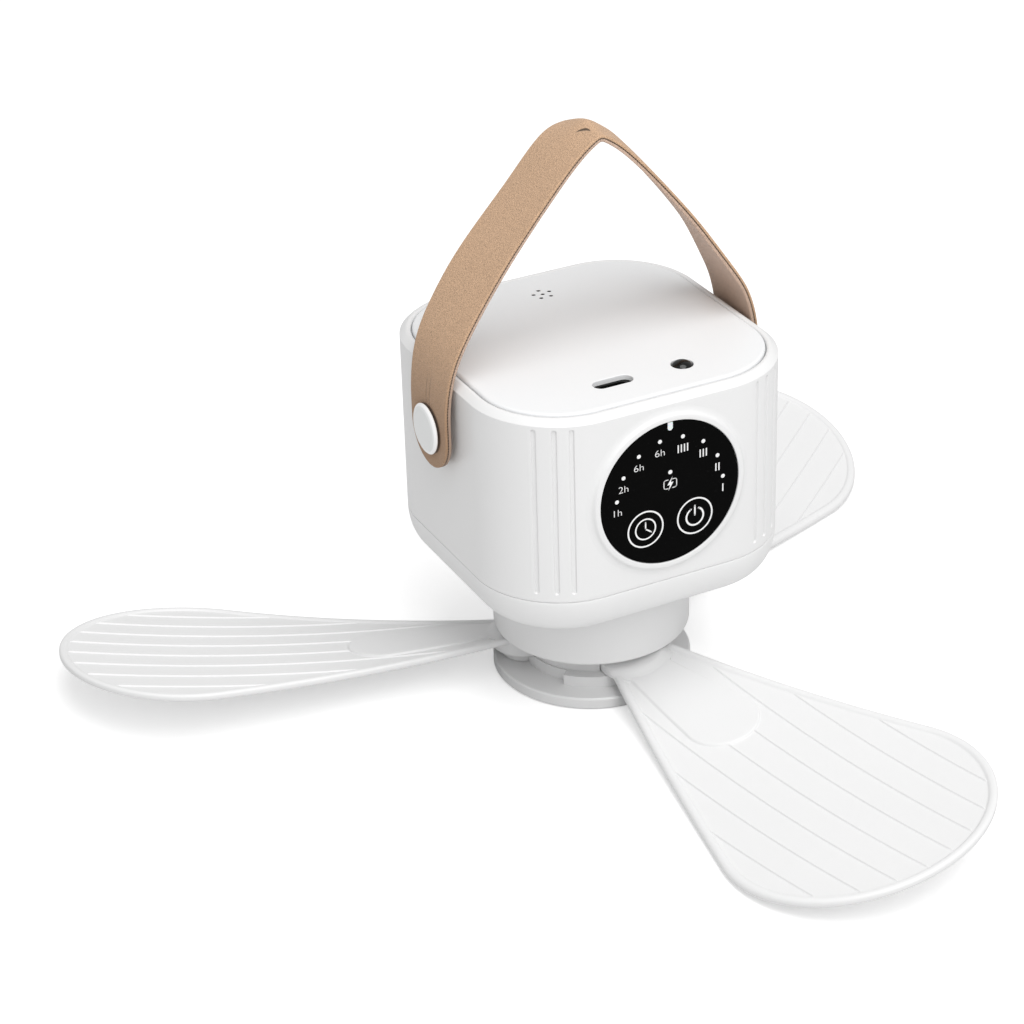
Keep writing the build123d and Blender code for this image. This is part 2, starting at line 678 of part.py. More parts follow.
cap_x = strap_side + loose_gap
tail_x = inner_half - washer_wide
cap_plane = Plane(origin=(cap_x, 0, rivet_z), x_dir=(0, 1, 0), z_dir=(1, 0, 0))
rivet = cap_plane * dome(cap_r, cap_edge, cap_high)
rivet += rod_x(shank_r, tail_x, cap_x + cap_edge / 2, 0, rivet_z)
rivet += rod_x(tail_r, tail_x - tail_high, tail_x, 0, rivet_z)
save("rivet_right", rivet)
save("rivet_left", rivet.rotate(Axis.Z, 180))
washers = []
spacers = []
for side in (-1, 1):
    bore = rod_x(shank_r + press_gap, side * (tail_x - past), side * cap_x, 0, rivet_z)
    washers.append(rod_x(washer_r, side * tail_x, side * inner_half, 0, rivet_z) - bore)
    spacers.append(rod_x(spacer_r, side * body_half, side * (body_half + spacer_thick), 0, rivet_z) - bore)
save("rivet_washers", *washers)
save("rivet_spacers", *spacers)

# ---- housing screws ----
save("housing_screws", *[screw(screw_head_r, cup_floor + screw_well - screw_head, cup_floor + screw_well,
                               boss_top - wall, screw_r, sx * boss_at, sy * boss_at) for sx, sy in corners])
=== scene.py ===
# Dresses the folding camping fan. Lengths are millimetres, turned to metres where a mesh is written.
from math import cos, hypot, pi, radians, sin, tan

import bmesh
import bpy
import numpy as np
from mathutils import Matrix, Vector
from mathutils.geometry import delaunay_2d_cdt


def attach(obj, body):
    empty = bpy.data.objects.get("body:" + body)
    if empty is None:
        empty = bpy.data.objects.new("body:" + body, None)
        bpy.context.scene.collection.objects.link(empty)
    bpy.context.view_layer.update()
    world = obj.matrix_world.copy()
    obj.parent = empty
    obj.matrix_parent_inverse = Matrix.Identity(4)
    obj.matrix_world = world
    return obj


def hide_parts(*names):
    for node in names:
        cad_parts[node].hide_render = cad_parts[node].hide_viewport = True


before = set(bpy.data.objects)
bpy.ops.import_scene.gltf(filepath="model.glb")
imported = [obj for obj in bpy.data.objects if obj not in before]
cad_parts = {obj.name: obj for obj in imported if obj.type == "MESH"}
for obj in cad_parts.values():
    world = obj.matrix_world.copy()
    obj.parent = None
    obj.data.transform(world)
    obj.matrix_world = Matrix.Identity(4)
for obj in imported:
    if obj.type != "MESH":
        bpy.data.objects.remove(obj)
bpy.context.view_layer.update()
mm = 0.001


class Sizes(dict):
    # The sizes of one piece, also read as sizes.name.
    __getattr__ = dict.__getitem__


def fullTurn(count):
    return np.linspace(0, 2 * pi, count, endpoint=False)


def quarterTurn(count):
    return np.linspace(0, pi / 2, count)


def raised(plan, z):
    # Points (x, y) of a plan at height z.
    return np.column_stack((plan, np.full(len(plan), float(z))))


def upright(plan, y):
    # Points (x, z) of a plan that stands at y.
    return np.column_stack((plan[:, 0], np.full(len(plan), y), plan[:, 1]))


def circleLoop(radius, x, y, count):
    turn = fullTurn(count)
    return np.column_stack((x + radius * np.cos(turn), y + radius * np.sin(turn)))


def slotLoop(long, wide, x, y, count=64):
    # Stadium along x: a circle pulled apart by long - wide.
    loop = circleLoop(wide / 2, 0, 0, count)
    return loop + np.column_stack((np.sign(loop[:, 0]) * (long - wide) / 2 + x, np.full(count, y)))


def gridFaces(rows, columns, tube, ring):
    # Quads (i, j), (i, j+1), (i+1, j+1), (i+1, j), going round where the grid is closed.
    i, j = np.meshgrid(np.arange(rows - (not tube)), np.arange(columns - (not ring)), indexing="ij")
    nextI, nextJ = (i + 1) % rows, (j + 1) % columns
    corners = (i * columns + j, i * columns + nextJ, nextI * columns + nextJ, nextI * columns + j)
    return np.stack(corners, -1).reshape(-1, 4)


def insideLoop(points, loop):
    # Even-odd test: counts the edges of the loop that a line from each point to +x crosses.
    x, y = points[:, None, 0], points[:, None, 1]
    x0, y0 = loop[:, 0], loop[:, 1]
    x1, y1 = np.roll(x0, -1), np.roll(y0, -1)
    crosses = (y0 > y) != (y1 > y)
    at = x0 + (y - y0) * (x1 - x0) / np.where(y1 == y0, 1.0, y1 - y0)
    return (crosses & (x < at)).sum(1) % 2 == 1


class Shell:
    # Grids and flat faces that become one mesh.
    def __init__(self):
        self.points, self.faces, self.count = [], [], 0

    def add(self, points, faces):
        start = self.count
        self.points.append(np.asarray(points, float).reshape(-1, 3))
        self.faces += (np.asarray(faces) + start).tolist()
        self.count += len(self.points[-1])
        return start

    def grid(self, points, tube=False, ring=False, capEnds=False):
        # The last row meets the first in a tube, the last column the first in a ring.
        rows, columns = points.shape[:2]
        start = self.add(points, gridFaces(rows, columns, tube, ring))
        if capEnds:
            # A tube gets a face at each end, an open strip one face from its first to its last column.
            first = start + np.arange(rows) * columns
            last = first[::-1] + columns - 1
            self.faces += [first.tolist(), last.tolist()] if tube else [first.tolist() + last.tolist()]

    def flat(self, loops, z):
        # Flat face at height z inside the first loop and outside the others.
        starts = np.cumsum([0] + [len(loop) for loop in loops])
        edges = [(a + k, a + (k + 1) % len(loop)) for a, loop in zip(starts, loops)
                 for k in range(len(loop))]
        cut = delaunay_2d_cdt([Vector(point) for point in np.concatenate(loops)], edges, [], 1, 1e-6)
        plan = np.array([point[:] for point in cut[0]])
        faces = np.array(cut[2])
        middle = plan[faces].mean(1)
        keep = insideLoop(middle, loops[0])
        for hole in loops[1:]:
            keep &= ~insideLoop(middle, hole)
        self.add(raised(plan, z), faces[keep])

    def lathe(self, profile, segments, centre=(0, 0, 0), axis=(0, 0, 1), closed=True):
        # centre + h * axis + r * (cos a * side + sin a * other) for each (r, h) of the profile.
        axis = np.array(axis, float)
        side = np.array((0, 0, 1.0) if abs(axis[2]) < 0.5 else (1.0, 0, 0))
        other = np.cross(axis, side)
        turn = fullTurn(segments)
        circle = np.cos(turn)[:, None] * side + np.sin(turn)[:, None] * other
        r, h = np.array(profile, float).T
        points = np.array(centre) + h[:, None, None] * axis + r[:, None, None] * circle
        self.grid(points, tube=closed, ring=True)


def softLine(corners, steps=5):
    # Polyline of (x, y, radius) corners, each rounded by an arc tangent to its two sides.
    line = []
    for k, (x, y, radius) in enumerate(corners):
        if radius == 0:
            line.append((x, y))
            continue
        here = np.array((x, y), float)
        before = np.array(corners[k - 1][:2], float) - here
        after = np.array(corners[(k + 1) % len(corners)][:2], float) - here
        before /= np.linalg.norm(before)
        after /= np.linalg.norm(after)
        half = np.arccos(np.clip(before @ after, -1, 1)) / 2
        middle = here + (before + after) / np.linalg.norm(before + after) * radius / sin(half)
        start = here + before * radius / tan(half) - middle
        end = here + after * radius / tan(half) - middle
        sweep = pi - 2 * half
        for step in np.linspace(0, 1, steps):
            blend = (start * sin((1 - step) * sweep) + end * sin(step * sweep)) / sin(sweep)
            line.append(tuple(middle + blend))
    return line


def placed(name, data):
    # New object of the scene.
    thing = bpy.data.objects.new(name, data)
    bpy.context.collection.objects.link(thing)
    return thing


def makePiece(name, shell, slot, replaced=(), body="housing", sharp=38, weld=True, values=None,
              finish=None):
    mesh = bpy.data.meshes.new(name)
    mesh.from_pydata((np.concatenate(shell.points) * mm).tolist(), [], shell.faces)
    for key, data in (values or {}).items():
        mesh.attributes.new(key, "FLOAT", "POINT").data.foreach_set("value", data.ravel())
    if weld:
        work = bmesh.new()
        work.from_mesh(mesh)
        bmesh.ops.remove_doubles(work, verts=work.verts, dist=0.003 * mm)
        bmesh.ops.recalc_face_normals(work, faces=work.faces)
        work.to_mesh(mesh)
        work.free()
    mesh.polygons.foreach_set("use_smooth", np.ones(len(mesh.polygons), bool))
    mesh.set_sharp_from_angle(angle=radians(sharp))
    mesh.materials.append(finish or finishes[slot])
    piece = placed(name, mesh)
    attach(piece, body)
    if replaced:
        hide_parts(*replaced)
    print("piece", name, len(mesh.polygons), "faces")


class Wire:
    # Output of a node. Arithmetic on it adds Math nodes.
    def __init__(self, finish, socket):
        self.finish, self.socket = finish, socket

    def __add__(self, other):
        return self.finish.math("ADD", self, other)

    def __sub__(self, other):
        return self.finish.math("SUBTRACT", self, other)

    def __rsub__(self, other):
        return self.finish.math("SUBTRACT", other, self)

    def __mul__(self, other):
        return self.finish.math("MULTIPLY", self, other)

    def __abs__(self):
        return self.finish.math("ABSOLUTE", self)

    def above(self, level, soft):
        # 0 below the level, 1 past level + soft.
        return self.finish.node("ShaderNodeMapRange", {"interpolation_type": "SMOOTHSTEP"},
                                {"Value": self, "From Min": level, "From Max": level + soft}, "Result")

    __radd__ = __add__
    __rmul__ = __mul__


class Finish:
    # One procedural material on Object coordinates.
    def __init__(self, name, constants=None):
        self.material = bpy.data.materials.new(name.replace("_", " "))
        self.material.use_nodes = True
        self.tree = self.material.node_tree
        self.shader = self.tree.nodes["Principled BSDF"]
        for key, value in (constants or {}).items():
            self.shader.inputs[key].default_value = value
        self.place = self.node("ShaderNodeTexCoord", out="Object")

    def node(self, kind, settings=None, inputs=None, out=0):
        node = self.tree.nodes.new(kind)
        for key, value in (settings or {}).items():
            setattr(node, key, value)
        for key, value in (inputs or {}).items():
            if isinstance(value, Wire):
                self.tree.links.new(value.socket, node.inputs[key])
            else:
                node.inputs[key].default_value = value
        return Wire(self, node.outputs[out])

    def math(self, operation, *values):
        return self.node("ShaderNodeMath", {"operation": operation}, dict(enumerate(values)))

    def reach(self, first, second):
        # Length of a line with these two parts.
        return self.math("SQRT", first * first + second * second)

    def noise(self, scale, detail, place=None):
        inputs = {"Vector": place or self.place, "Scale": scale, "Detail": detail}
        return self.node("ShaderNodeTexNoise", None, inputs, "Fac")

    def mix(self, factor, first, second):
        first, second = ((*c, 1) if isinstance(c, tuple) else c for c in (first, second))
        return self.node("ShaderNodeMix", {"data_type": "RGBA"}, {0: factor, 6: first, 7: second}, 2)

    def axes(self):
        parts = self.node("ShaderNodeSeparateXYZ", None, {0: self.place}).socket.node
        return [Wire(self, socket) for socket in parts.outputs]

    def value(self, name):
        return self.node("ShaderNodeAttribute", {"attribute_name": name}, None, "Fac")

    def feed(self, socket, wire):
        self.tree.links.new(wire.socket, self.shader.inputs[socket])

    def bump(self, height, strength, distance):
        inputs = {"Strength": strength, "Distance": distance, "Height": height}
        self.feed("Normal", self.node("ShaderNodeBump", None, inputs, "Normal"))


def grey(level):
    return (level,) * 3


def shade(colour, amount):
    return tuple(min(1.0, part * amount) for part in colour)


def plasticFinish(name, colour, roughness, constants=None, depth=0.00002, shift=0.03):
    # Moulded plastic: soft cloudy tone, fine mould grain and an uneven sheen.
    look = Finish(name, constants)
    cloud = look.noise(24, 4)
    look.feed("Base Color", look.mix(cloud, shade(colour, 1 - shift), shade(colour, 1 + shift / 3)))
    look.feed("Roughness", cloud * 0.1 + look.noise(420, 2) * 0.05 + (roughness - 0.075))
    look.bump(look.noise(1900, 3), 0.25, depth)
    return look.material


def metalFinish(name, colour, roughness, stretch=(60, 60, 2400)):
    # Turned or drawn metal: fine lines along one direction over slow stains.
    look = Finish(name, {"Metallic": 1.0})
    along = look.node("ShaderNodeMapping", None, {"Vector": look.place, "Scale": stretch})
    lines, stain = look.noise(1, 3, along), look.noise(60, 5)
    look.feed("Base Color", look.mix(stain, shade(colour, 0.86), colour))
    look.feed("Roughness", lines * 0.16 + stain * 0.08 + (roughness - 0.12))
    look.bump(lines, 0.3, 0.00002)
    return look.material


def boardFinish(name, colour):
    # Solder mask with faint tracks and weave.
    look = Finish(name)
    tracks = look.node("ShaderNodeTexBrick", {"offset": 0.4},
                       {"Vector": look.place, "Scale": 260.0, "Mortar Size": 0.03}, "Fac")
    weave = look.noise(2400, 2)
    look.feed("Base Color", look.mix(tracks * 0.5, colour, shade(colour, 1.7)))
    look.feed("Roughness", weave * 0.1 + 0.38)
    look.bump(tracks + weave * 0.3, 0.3, 0.00004)
    return look.material


# Colour, roughness and what else differs, by finish.
plastics = {
    "white_satin": (grey(0.8), 0.36, {"Coat Weight": 0.12, "Coat Roughness": 0.25}),
    "white_blade": (grey(0.785), 0.42, {}, 0.00002, 0.02),
    "black_panel": (grey(0.0022), 0.3, {"Specular IOR Level": 0.02}, 0.000004),
    "clear_white": ((0.82, 0.84, 0.85), 0.2, {"Subsurface Weight": 0.2, "Subsurface Scale": 0.001}),
    "led_yellow": ((0.8, 0.72, 0.35), 0.2),
    "socket_black": (grey(0.004), 0.5, {"Specular IOR Level": 0.2}),
    "black_gloss": (grey(0.002), 0.14,
                    {"Coat Weight": 0.7, "Coat Roughness": 0.04, "Specular IOR Level": 0.08}, 0.000003),
    "buzzer_black": (grey(0.02), 0.55),
    "cell_wrap": ((0.05, 0.25, 0.45), 0.3, {"Coat Weight": 0.3}),
    "tray_grey": ((0.1, 0.1, 0.11), 0.5),
    "spacer_white": (grey(0.7), 0.5),
    "print_white": (grey(0.86), 0.5),
}
metals = {
    "nickel": ((0.66, 0.62, 0.55), 0.3),
    "mount_metal": ((0.72, 0.73, 0.75), 0.32),
    "core_iron": ((0.22, 0.22, 0.23), 0.5, (40, 40, 5200)),
    "copper_wire": ((0.72, 0.3, 0.12), 0.3, (40, 40, 3400)),
    "bearing_steel": ((0.75, 0.75, 0.77), 0.2),
    "screw_steel": ((0.55, 0.56, 0.58), 0.34),
    "can_steel": ((0.5, 0.51, 0.53), 0.3),
    "magnet_dark": ((0.3, 0.3, 0.32), 0.35),
}
finishes = {"board_green": boardFinish("board_green", (0.03, 0.16, 0.08))}
for make, table in ((plasticFinish, plastics), (metalFinish, metals)):
    finishes.update((name, make(name, *look)) for name, look in table.items())
# Each CAD node comes with a material named after its finish.
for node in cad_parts.values():
    for materialSlot in node.material_slots:
        materialSlot.material = finishes.get(materialSlot.material.name, materialSlot.material)
print("materials ready")

# Housing. An inset is measured inwards from the outer wall.
housing = Sizes(
    half=50.0, corner=28.7, wall=2.7, seam=54.3, seamSoft=0.35, seamLip=(0.08, 0.14), wallTop=112.95,
    bevel=((0.0, 112.95), (1.3, 114.3), (2.2, 114.75)), lip=3.6, lipSoft=0.85, land=114.75, ledge=112.6,
    ledgeWide=6.2, ledgeHigh=2.0, bossAt=33.0, bossRadius=4.0, bossTop=64.0, frontHalf=27.0,
    fluteAngles=(20.0, 30.2, 42.5), fluteWide=0.86, fluteSide=0.36, fluteDeep=0.6, fluteLow=57.0,
    fluteHigh=112.0, fluteEnds=(56.8, 58.4, 110.6), dialZ=84.46, dialHole=25.0, ringFront=51.14,
    # Outside of the ring round the dial: radius, share of the way from the wall to its front.
    ring=((27.7, -0.02), (27.1, 0.03), (26.6, 0.09), (26.2, 0.17), (25.85, 0.29), (25.6, 0.45),
          (25.42, 0.63), (25.24, 0.81), (25.02, 0.94), (24.75, 1.0)),
    # Its inside: radius, distance in front of the middle, rounding.
    ringInner=((23.9, 51.14, 0), (23.45, 51.14, 0.3), (23.3, 49.5, 0), (21.5, 49.5, 0.1), (21.5, 47.1, 0),
               (19.0, 47.1, 0), (19.0, 45.3, 0), (24.4, 45.3, 0), (24.4, 48.6, 0)),
)
flatHalf = housing.half - housing.corner
arcLong = housing.corner * pi / 2
quarter = 2 * flatHalf + arcLong


def fourSpots(x, y):
    return [(x * i, y * j) for i in (-1, 1) for j in (-1, 1)]


bosses = fourSpots(housing.bossAt, housing.bossAt)


def addPosts(shell, spots, bore, radius, low, top):
    # Upright tubes, solid ones with a bore next to nothing.
    for spot in spots:
        shell.lathe([(bore, low), (radius, low), (radius, top), (bore, top)], 32, (*spot, 0))


def squirclePoint(s, inset=0.0):
    # Rounded square, s along its face from the middle of the front towards +X, moved in by inset:
    # straight sides and arcs (flat + r sin a, -flat - r cos a), a quarter turn for each side.
    turn = np.floor(s / quarter)
    t = s - turn * quarter
    angle = np.clip((t - flatHalf) / housing.corner, 0, pi / 2)
    radius = housing.corner - inset
    x = np.minimum(t, flatHalf) + radius * np.sin(angle)
    y = -flatHalf - radius * np.cos(angle) + np.maximum(t - flatHalf - arcLong, 0)
    c, d = np.cos(turn * pi / 2), np.sin(turn * pi / 2)
    return x * c - y * d, x * d + y * c


def wallPoints(s, z, inset):
    s, z, inset = np.broadcast_arrays(s, z, inset)
    x, y = squirclePoint(s, inset)
    return np.stack((x, y, z), -1)


evenColumns = np.linspace(0, 4 * quarter, 320, endpoint=False)


def wallBand(shell, rows, s=evenColumns):
    # Band round the wall through rows of (inset, height).
    inset, z = np.array(rows).T[:, :, None]
    shell.grid(wallPoints(s, z, inset), ring=True)


def wallOutline(inset):
    return np.column_stack(squirclePoint(evenColumns, inset))


fluteAt = np.array([flatHalf + housing.corner * radians(angle) for angle in housing.fluteAngles])
fluteAt = np.concatenate([side * fluteAt + turn * quarter for turn in (0, 2) for side in (-1, 1)])
fluteAt = np.mod(fluteAt, 4 * quarter)


def fluteDepth(s, z):
    # Flat floor, depth * t^2 (3 - 2 t) up its sides, t = (wide - d) / side and d the distance from
    # the middle line of the nearest flute.
    h = housing
    across = np.abs(s[..., None] - fluteAt).min(-1)
    along = np.maximum(0, np.abs(z - (h.fluteLow + h.fluteHigh) / 2)
                       - (h.fluteHigh - h.fluteLow) / 2 + h.fluteWide)
    near = np.clip((h.fluteWide - np.hypot(across, along)) / h.fluteSide, 0, 1)
    return h.fluteDeep * near**2 * (3 - 2 * near)


# Columns and rows of the wall, closer together at the flutes.
frontColumns = np.linspace(-housing.frontHalf, housing.frontHalf, 55)
restColumns = np.linspace(housing.frontHalf, 4 * quarter - housing.frontHalf, 190)
atFlutes = [at + np.linspace(-0.9, 0.9, 25) for at in fluteAt]
restColumns = np.unique(np.round(np.concatenate([restColumns] + atFlutes), 4))
allColumns = np.concatenate((restColumns[:-1], frontColumns[:-1] + 4 * quarter))
stops = (housing.seam + housing.seamSoft, *housing.fluteEnds, housing.wallTop)
steps = zip(stops, stops[1:], (7, 15, 26, 20))
wallRows = np.concatenate([np.linspace(*step)[:-1] for step in steps] + [stops[-1:]])
innerHigh = housing.ledge - housing.ledgeHigh - housing.seam
innerRows = housing.seam + (wallRows - wallRows[0]) / (wallRows[-1] - wallRows[0]) * innerHigh


def dialPatch(shell, rows, inset):
    # Front of the wall between its rectangle and the round dial opening, by rays from the dial centre.
    up, across = len(rows) - 1, len(frontColumns) - 1
    s = np.concatenate((frontColumns[:-1], np.full(up, frontColumns[-1]), frontColumns[:0:-1],
                        np.full(up, frontColumns[0])))
    z = np.concatenate((np.full(across, rows[0]), rows[:-1], np.full(across, rows[-1]), rows[:0:-1]))
    ray = np.arctan2(z - housing.dialZ, s)
    hole = housing.dialHole
    out = np.linspace(0, 1, 9)[:, None]
    s = hole * np.cos(ray) * (1 - out) + s * out
    z = (housing.dialZ + hole * np.sin(ray)) * (1 - out) + z * out
    points = wallPoints(s, z, inset)
    shell.grid(points, ring=True)
    return points[0]


def sleeveShell():
    shell = Shell()
    h = housing
    s, z = np.meshgrid(restColumns, wallRows)
    shell.grid(wallPoints(s, z, fluteDepth(s, z)))
    shell.grid(wallPoints(restColumns, innerRows[:, None], h.wall))
    outerHole = dialPatch(shell, wallRows, 0.0)
    innerHole = dialPatch(shell, innerRows, h.wall)
    shell.grid(np.stack((outerHole, innerHole)), ring=True)
    # Bevel: start (1 - t)^2 + bend 2 t (1 - t) + end t^2, then the lip and the ledge of the cover.
    start, bend, end = np.array(h.bevel)
    rim = [tuple(start * (1 - t) ** 2 + bend * 2 * t * (1 - t) + end * t**2) for t in np.linspace(0, 1, 12)]
    ledgeLow = h.ledge - h.ledgeHigh
    rim += softLine([(end[0], h.land, 0), (h.lip, h.land, h.lipSoft), (h.lip, h.ledge, 0),
                     (h.ledgeWide, h.ledge, 0.2), (h.ledgeWide, ledgeLow, 0), (h.wall, ledgeLow, 0)], 6)[1:]
    wallBand(shell, rim, allColumns)
    lipIn, lipUp = h.seamLip
    wallBand(shell, [(h.wall, h.seam), (h.seamSoft, h.seam), (lipIn, h.seam + lipUp),
                     (0, h.seam + h.seamSoft)], allColumns)
    addPosts(shell, bosses, 0.001, h.bossRadius, h.seam, h.bossTop)
    # The ring's foot follows the wall, which falls back as sqrt(corner^2 - past^2) beside the flat.
    turn = fullTurn(192)
    r, share = np.array(h.ring).T[:, :, None] + 0 * turn
    past = np.maximum(np.abs(r * np.cos(turn)) - flatHalf, 0)
    y = (flatHalf + np.sqrt(h.corner ** 2 - past**2)) * (1 - share) + h.ringFront * share
    innerR, innerY = np.array(softLine(h.ringInner, 8)).T[:, :, None] + 0 * turn
    r, y = np.concatenate((r, innerR)), np.concatenate((y, innerY))
    shell.grid(np.stack((r * np.cos(turn), -y, h.dialZ + r * np.sin(turn)), -1), tube=True, ring=True)
    return shell


makePiece("housing_sleeve", sleeveShell(), "white_satin", ["main_housing"])

cover = Sizes(
    inset=3.95, low=112.6, top=115.2, soft=0.9, flatEdge=0.4, skirt=109.2, skirtIn=6.4, skirtWall=1.3,
    usb=(-8.9, -32.5), usbLong=13.0, usbWide=5.2, eye=(14.6, -32.4), eyeRadius=3.4, vent=(1.7, 32.2),
    ventRing=2.9, ventRadius=0.65, holeSoft=0.3, holeEdge=0.2, posts=(26.0, 36.0), postRadius=3.0,
    # The last pair: top and radius of the painted shade inside the beeper holes.
    postBore=1.01, postLow=103.6, postUp=0.5, ventDark=(114.8, 4.2),
)


def coverFinish():
    # The cover's plastic, with painted shade inside the beeper holes: near black below the face and near
    # their middle.
    look = Finish("white_cover")
    cloud = look.noise(24, 4)
    x, y, z = look.axes()
    level, radius = (size * mm for size in cover.ventDark)
    off = look.reach(x - cover.vent[0] * mm, y - cover.vent[1] * mm)
    # Painted shade: the walls of the beeper holes, below this level and within this radius, get a near-black
    # colour.
    inside = (1 - z.above(level, 0.3 * mm)) * (1 - off.above(radius, 0.2 * mm))
    tone = look.mix(cloud, (0.80, 0.808, 0.816), (0.825, 0.834, 0.842))
    look.feed("Base Color", look.mix(inside, tone, grey(0.03)))
    look.feed("Roughness", cloud * 0.1 + look.noise(420, 2) * 0.05 + 0.325)
    look.bump(look.noise(2600, 3), 0.25, 0.00002)
    return look.material


def coverShell():
    shell = Shell()
    c = cover
    x, y = c.vent
    turns = [radians(90 + 72 * k) for k in range(5)]
    ventSpots = [c.vent] + [(x + c.ventRing * cos(a), y + c.ventRing * sin(a)) for a in turns]
    holes = [lambda grow: slotLoop(c.usbLong + 2 * grow, c.usbWide + 2 * grow, *c.usb),
             lambda grow: circleLoop(c.eyeRadius + grow, *c.eye, 64)]
    holes += [lambda grow, at=at: circleLoop(c.ventRadius + grow * 0.5, *at, 24) for at in ventSpots]
    flatIn = c.inset + c.soft
    holeOut = c.holeSoft + c.holeEdge
    shell.flat([wallOutline(flatIn + c.flatEdge)] + [hole(holeOut) for hole in holes], c.top)
    edge = [(flatIn + c.flatEdge, c.top), (flatIn, c.top)]
    edge += [(c.inset + c.soft * (1 - sin(a)), c.top - c.soft * (1 - cos(a))) for a in quarterTurn(8)[1:]]
    skirtInner = c.skirtIn + c.skirtWall
    edge += [(c.inset, c.low), (c.skirtIn, c.low), (c.skirtIn, c.skirt), (skirtInner, c.skirt),
             (skirtInner, c.low)]
    wallBand(shell, edge)
    shell.flat([wallOutline(skirtInner)] + [hole(0) for hole in holes], c.low)
    rows = [(holeOut, c.top), (c.holeSoft, c.top)]
    rows += [(c.holeSoft * (1 - sin(a)), c.top - c.holeSoft * (1 - cos(a))) for a in quarterTurn(5)[1:]]
    rows.append((0, c.low))
    for hole in holes:
        shell.grid(np.stack([raised(hole(grow), z) for grow, z in rows]), ring=True)
    addPosts(shell, fourSpots(*c.posts), c.postBore, c.postRadius, c.postLow, c.low + c.postUp)
    return shell


finishes["white_cover"] = coverFinish()
makePiece("cover_plate", coverShell(), "white_cover", ["top_cover"])

socket = Sizes(low=112.5, top=113.6, mouthLong=9.0, mouthWide=3.2, gap=0.03)


def socketShell():
    # Black face under the charging slot: a stadium plate with the mouth of the socket in it.
    shell = Shell()
    outer = slotLoop(cover.usbLong - socket.gap, cover.usbWide - socket.gap, *cover.usb)
    mouth = slotLoop(socket.mouthLong, socket.mouthWide, *cover.usb)
    levels = (socket.low, socket.top)
    for z in levels:
        shell.flat([outer, mouth], z)
    for loop in (outer, mouth):
        shell.grid(np.stack([raised(loop, z) for z in levels]), ring=True)
    return shell


makePiece("charging_face", socketShell(), "socket_black")

eye = Sizes(radius=3.3, low=103.6, base=114.4, top=116.3)


def eyeShell():
    # Flat stem and a cap whose height falls as cos^1.2.
    shell = Shell()
    profile = [(0.001, eye.top)]
    profile += [(eye.radius * sin(a), eye.base + (eye.top - eye.base) * cos(a) ** 1.2)
                for a in quarterTurn(20)[1:]]
    profile += [(eye.radius, eye.low), (0.001, eye.low)]
    shell.lathe(profile, 64, (*cover.eye, 0))
    return shell


makePiece("receiver_eye", eyeShell(), "black_gloss", ["ir_receiver"])

cup = Sizes(
    inset=6.9, floor=42.1, floorEdge=0.6, neck=31.3, neckStart=30.0, neckLow=15.9, neckBore=28.8,
    neckFloor=18.3, flare=2.8, flareEdge=0.5, shaftHole=9.0, seat=37.0, seatTop=49.0, inside=44.8,
    insideSlope=3.45, screwWell=3.2, wellRim=0.35, wellFloor=45.6, bossLow=44.3, bossHigh=54.25,
    # Rim that stands up inside the sleeve: inset and height.
    rim=((2.7, 51.3), (4.1, 52.7), (4.1, 56.3), (2.8, 56.3), (2.8, 54.3)),
)


def cupShell():
    shell = Shell()
    h, c = housing, cup
    lipIn, lipUp = h.seamLip
    start = h.seam - h.seamSoft
    rows = [c.rim[-1], (h.seamSoft, h.seam), (lipIn, h.seam - lipUp)]
    rows += [(c.inset * (1 - cos(a)), c.floor + (start - c.floor) * (1 - sin(a))) for a in quarterTurn(26)]
    floorIn, flareOut = c.inset + c.floorEdge, c.neck + c.flare + c.flareEdge
    wallBand(shell, rows + [(floorIn, c.floor)])
    well, rim = c.screwWell, c.wellRim
    wells = [circleLoop(well + rim, *spot, 40) for spot in bosses]
    shell.flat([wallOutline(floorIn), circleLoop(flareOut, 0, 0, 256), *wells], c.floor)
    for spot in bosses:
        shell.lathe([(well + rim, c.floor), (well + rim / 3, c.floor + 0.1), (well, c.floor + rim),
                     (well, c.wellFloor), (0.001, c.wellFloor)], 40, (*spot, 0), closed=False)
    profile = [(flareOut, c.floor)]
    profile += [(c.neck + c.flare * (1 - sin(a)), c.floor - c.flare * (1 - cos(a)))
                for a in quarterTurn(12)]
    profile += softLine([(c.neck, c.neckStart, 0), (c.neck, c.neckLow, 1.0), (c.shaftHole, c.neckLow, 0.3),
                         (c.shaftHole, c.neckFloor, 0), (c.neckBore, c.neckFloor, 0),
                         (c.neckBore, c.seatTop, 0), (c.seat, c.seatTop, 0), (c.seat, c.inside, 0)], 6)
    shell.lathe(profile, 256, closed=False)
    slope = h.wall + c.insideSlope
    shell.flat([wallOutline(slope), circleLoop(c.seat, 0, 0, 256)], c.inside)
    wallBand(shell, [(slope, c.inside), (h.wall, c.inside + c.insideSlope), *c.rim])
    addPosts(shell, bosses, 0.001, h.bossRadius, c.bossLow, c.bossHigh)
    return shell


makePiece("cup_and_neck", cupShell(), "white_satin", ["lower_housing"])

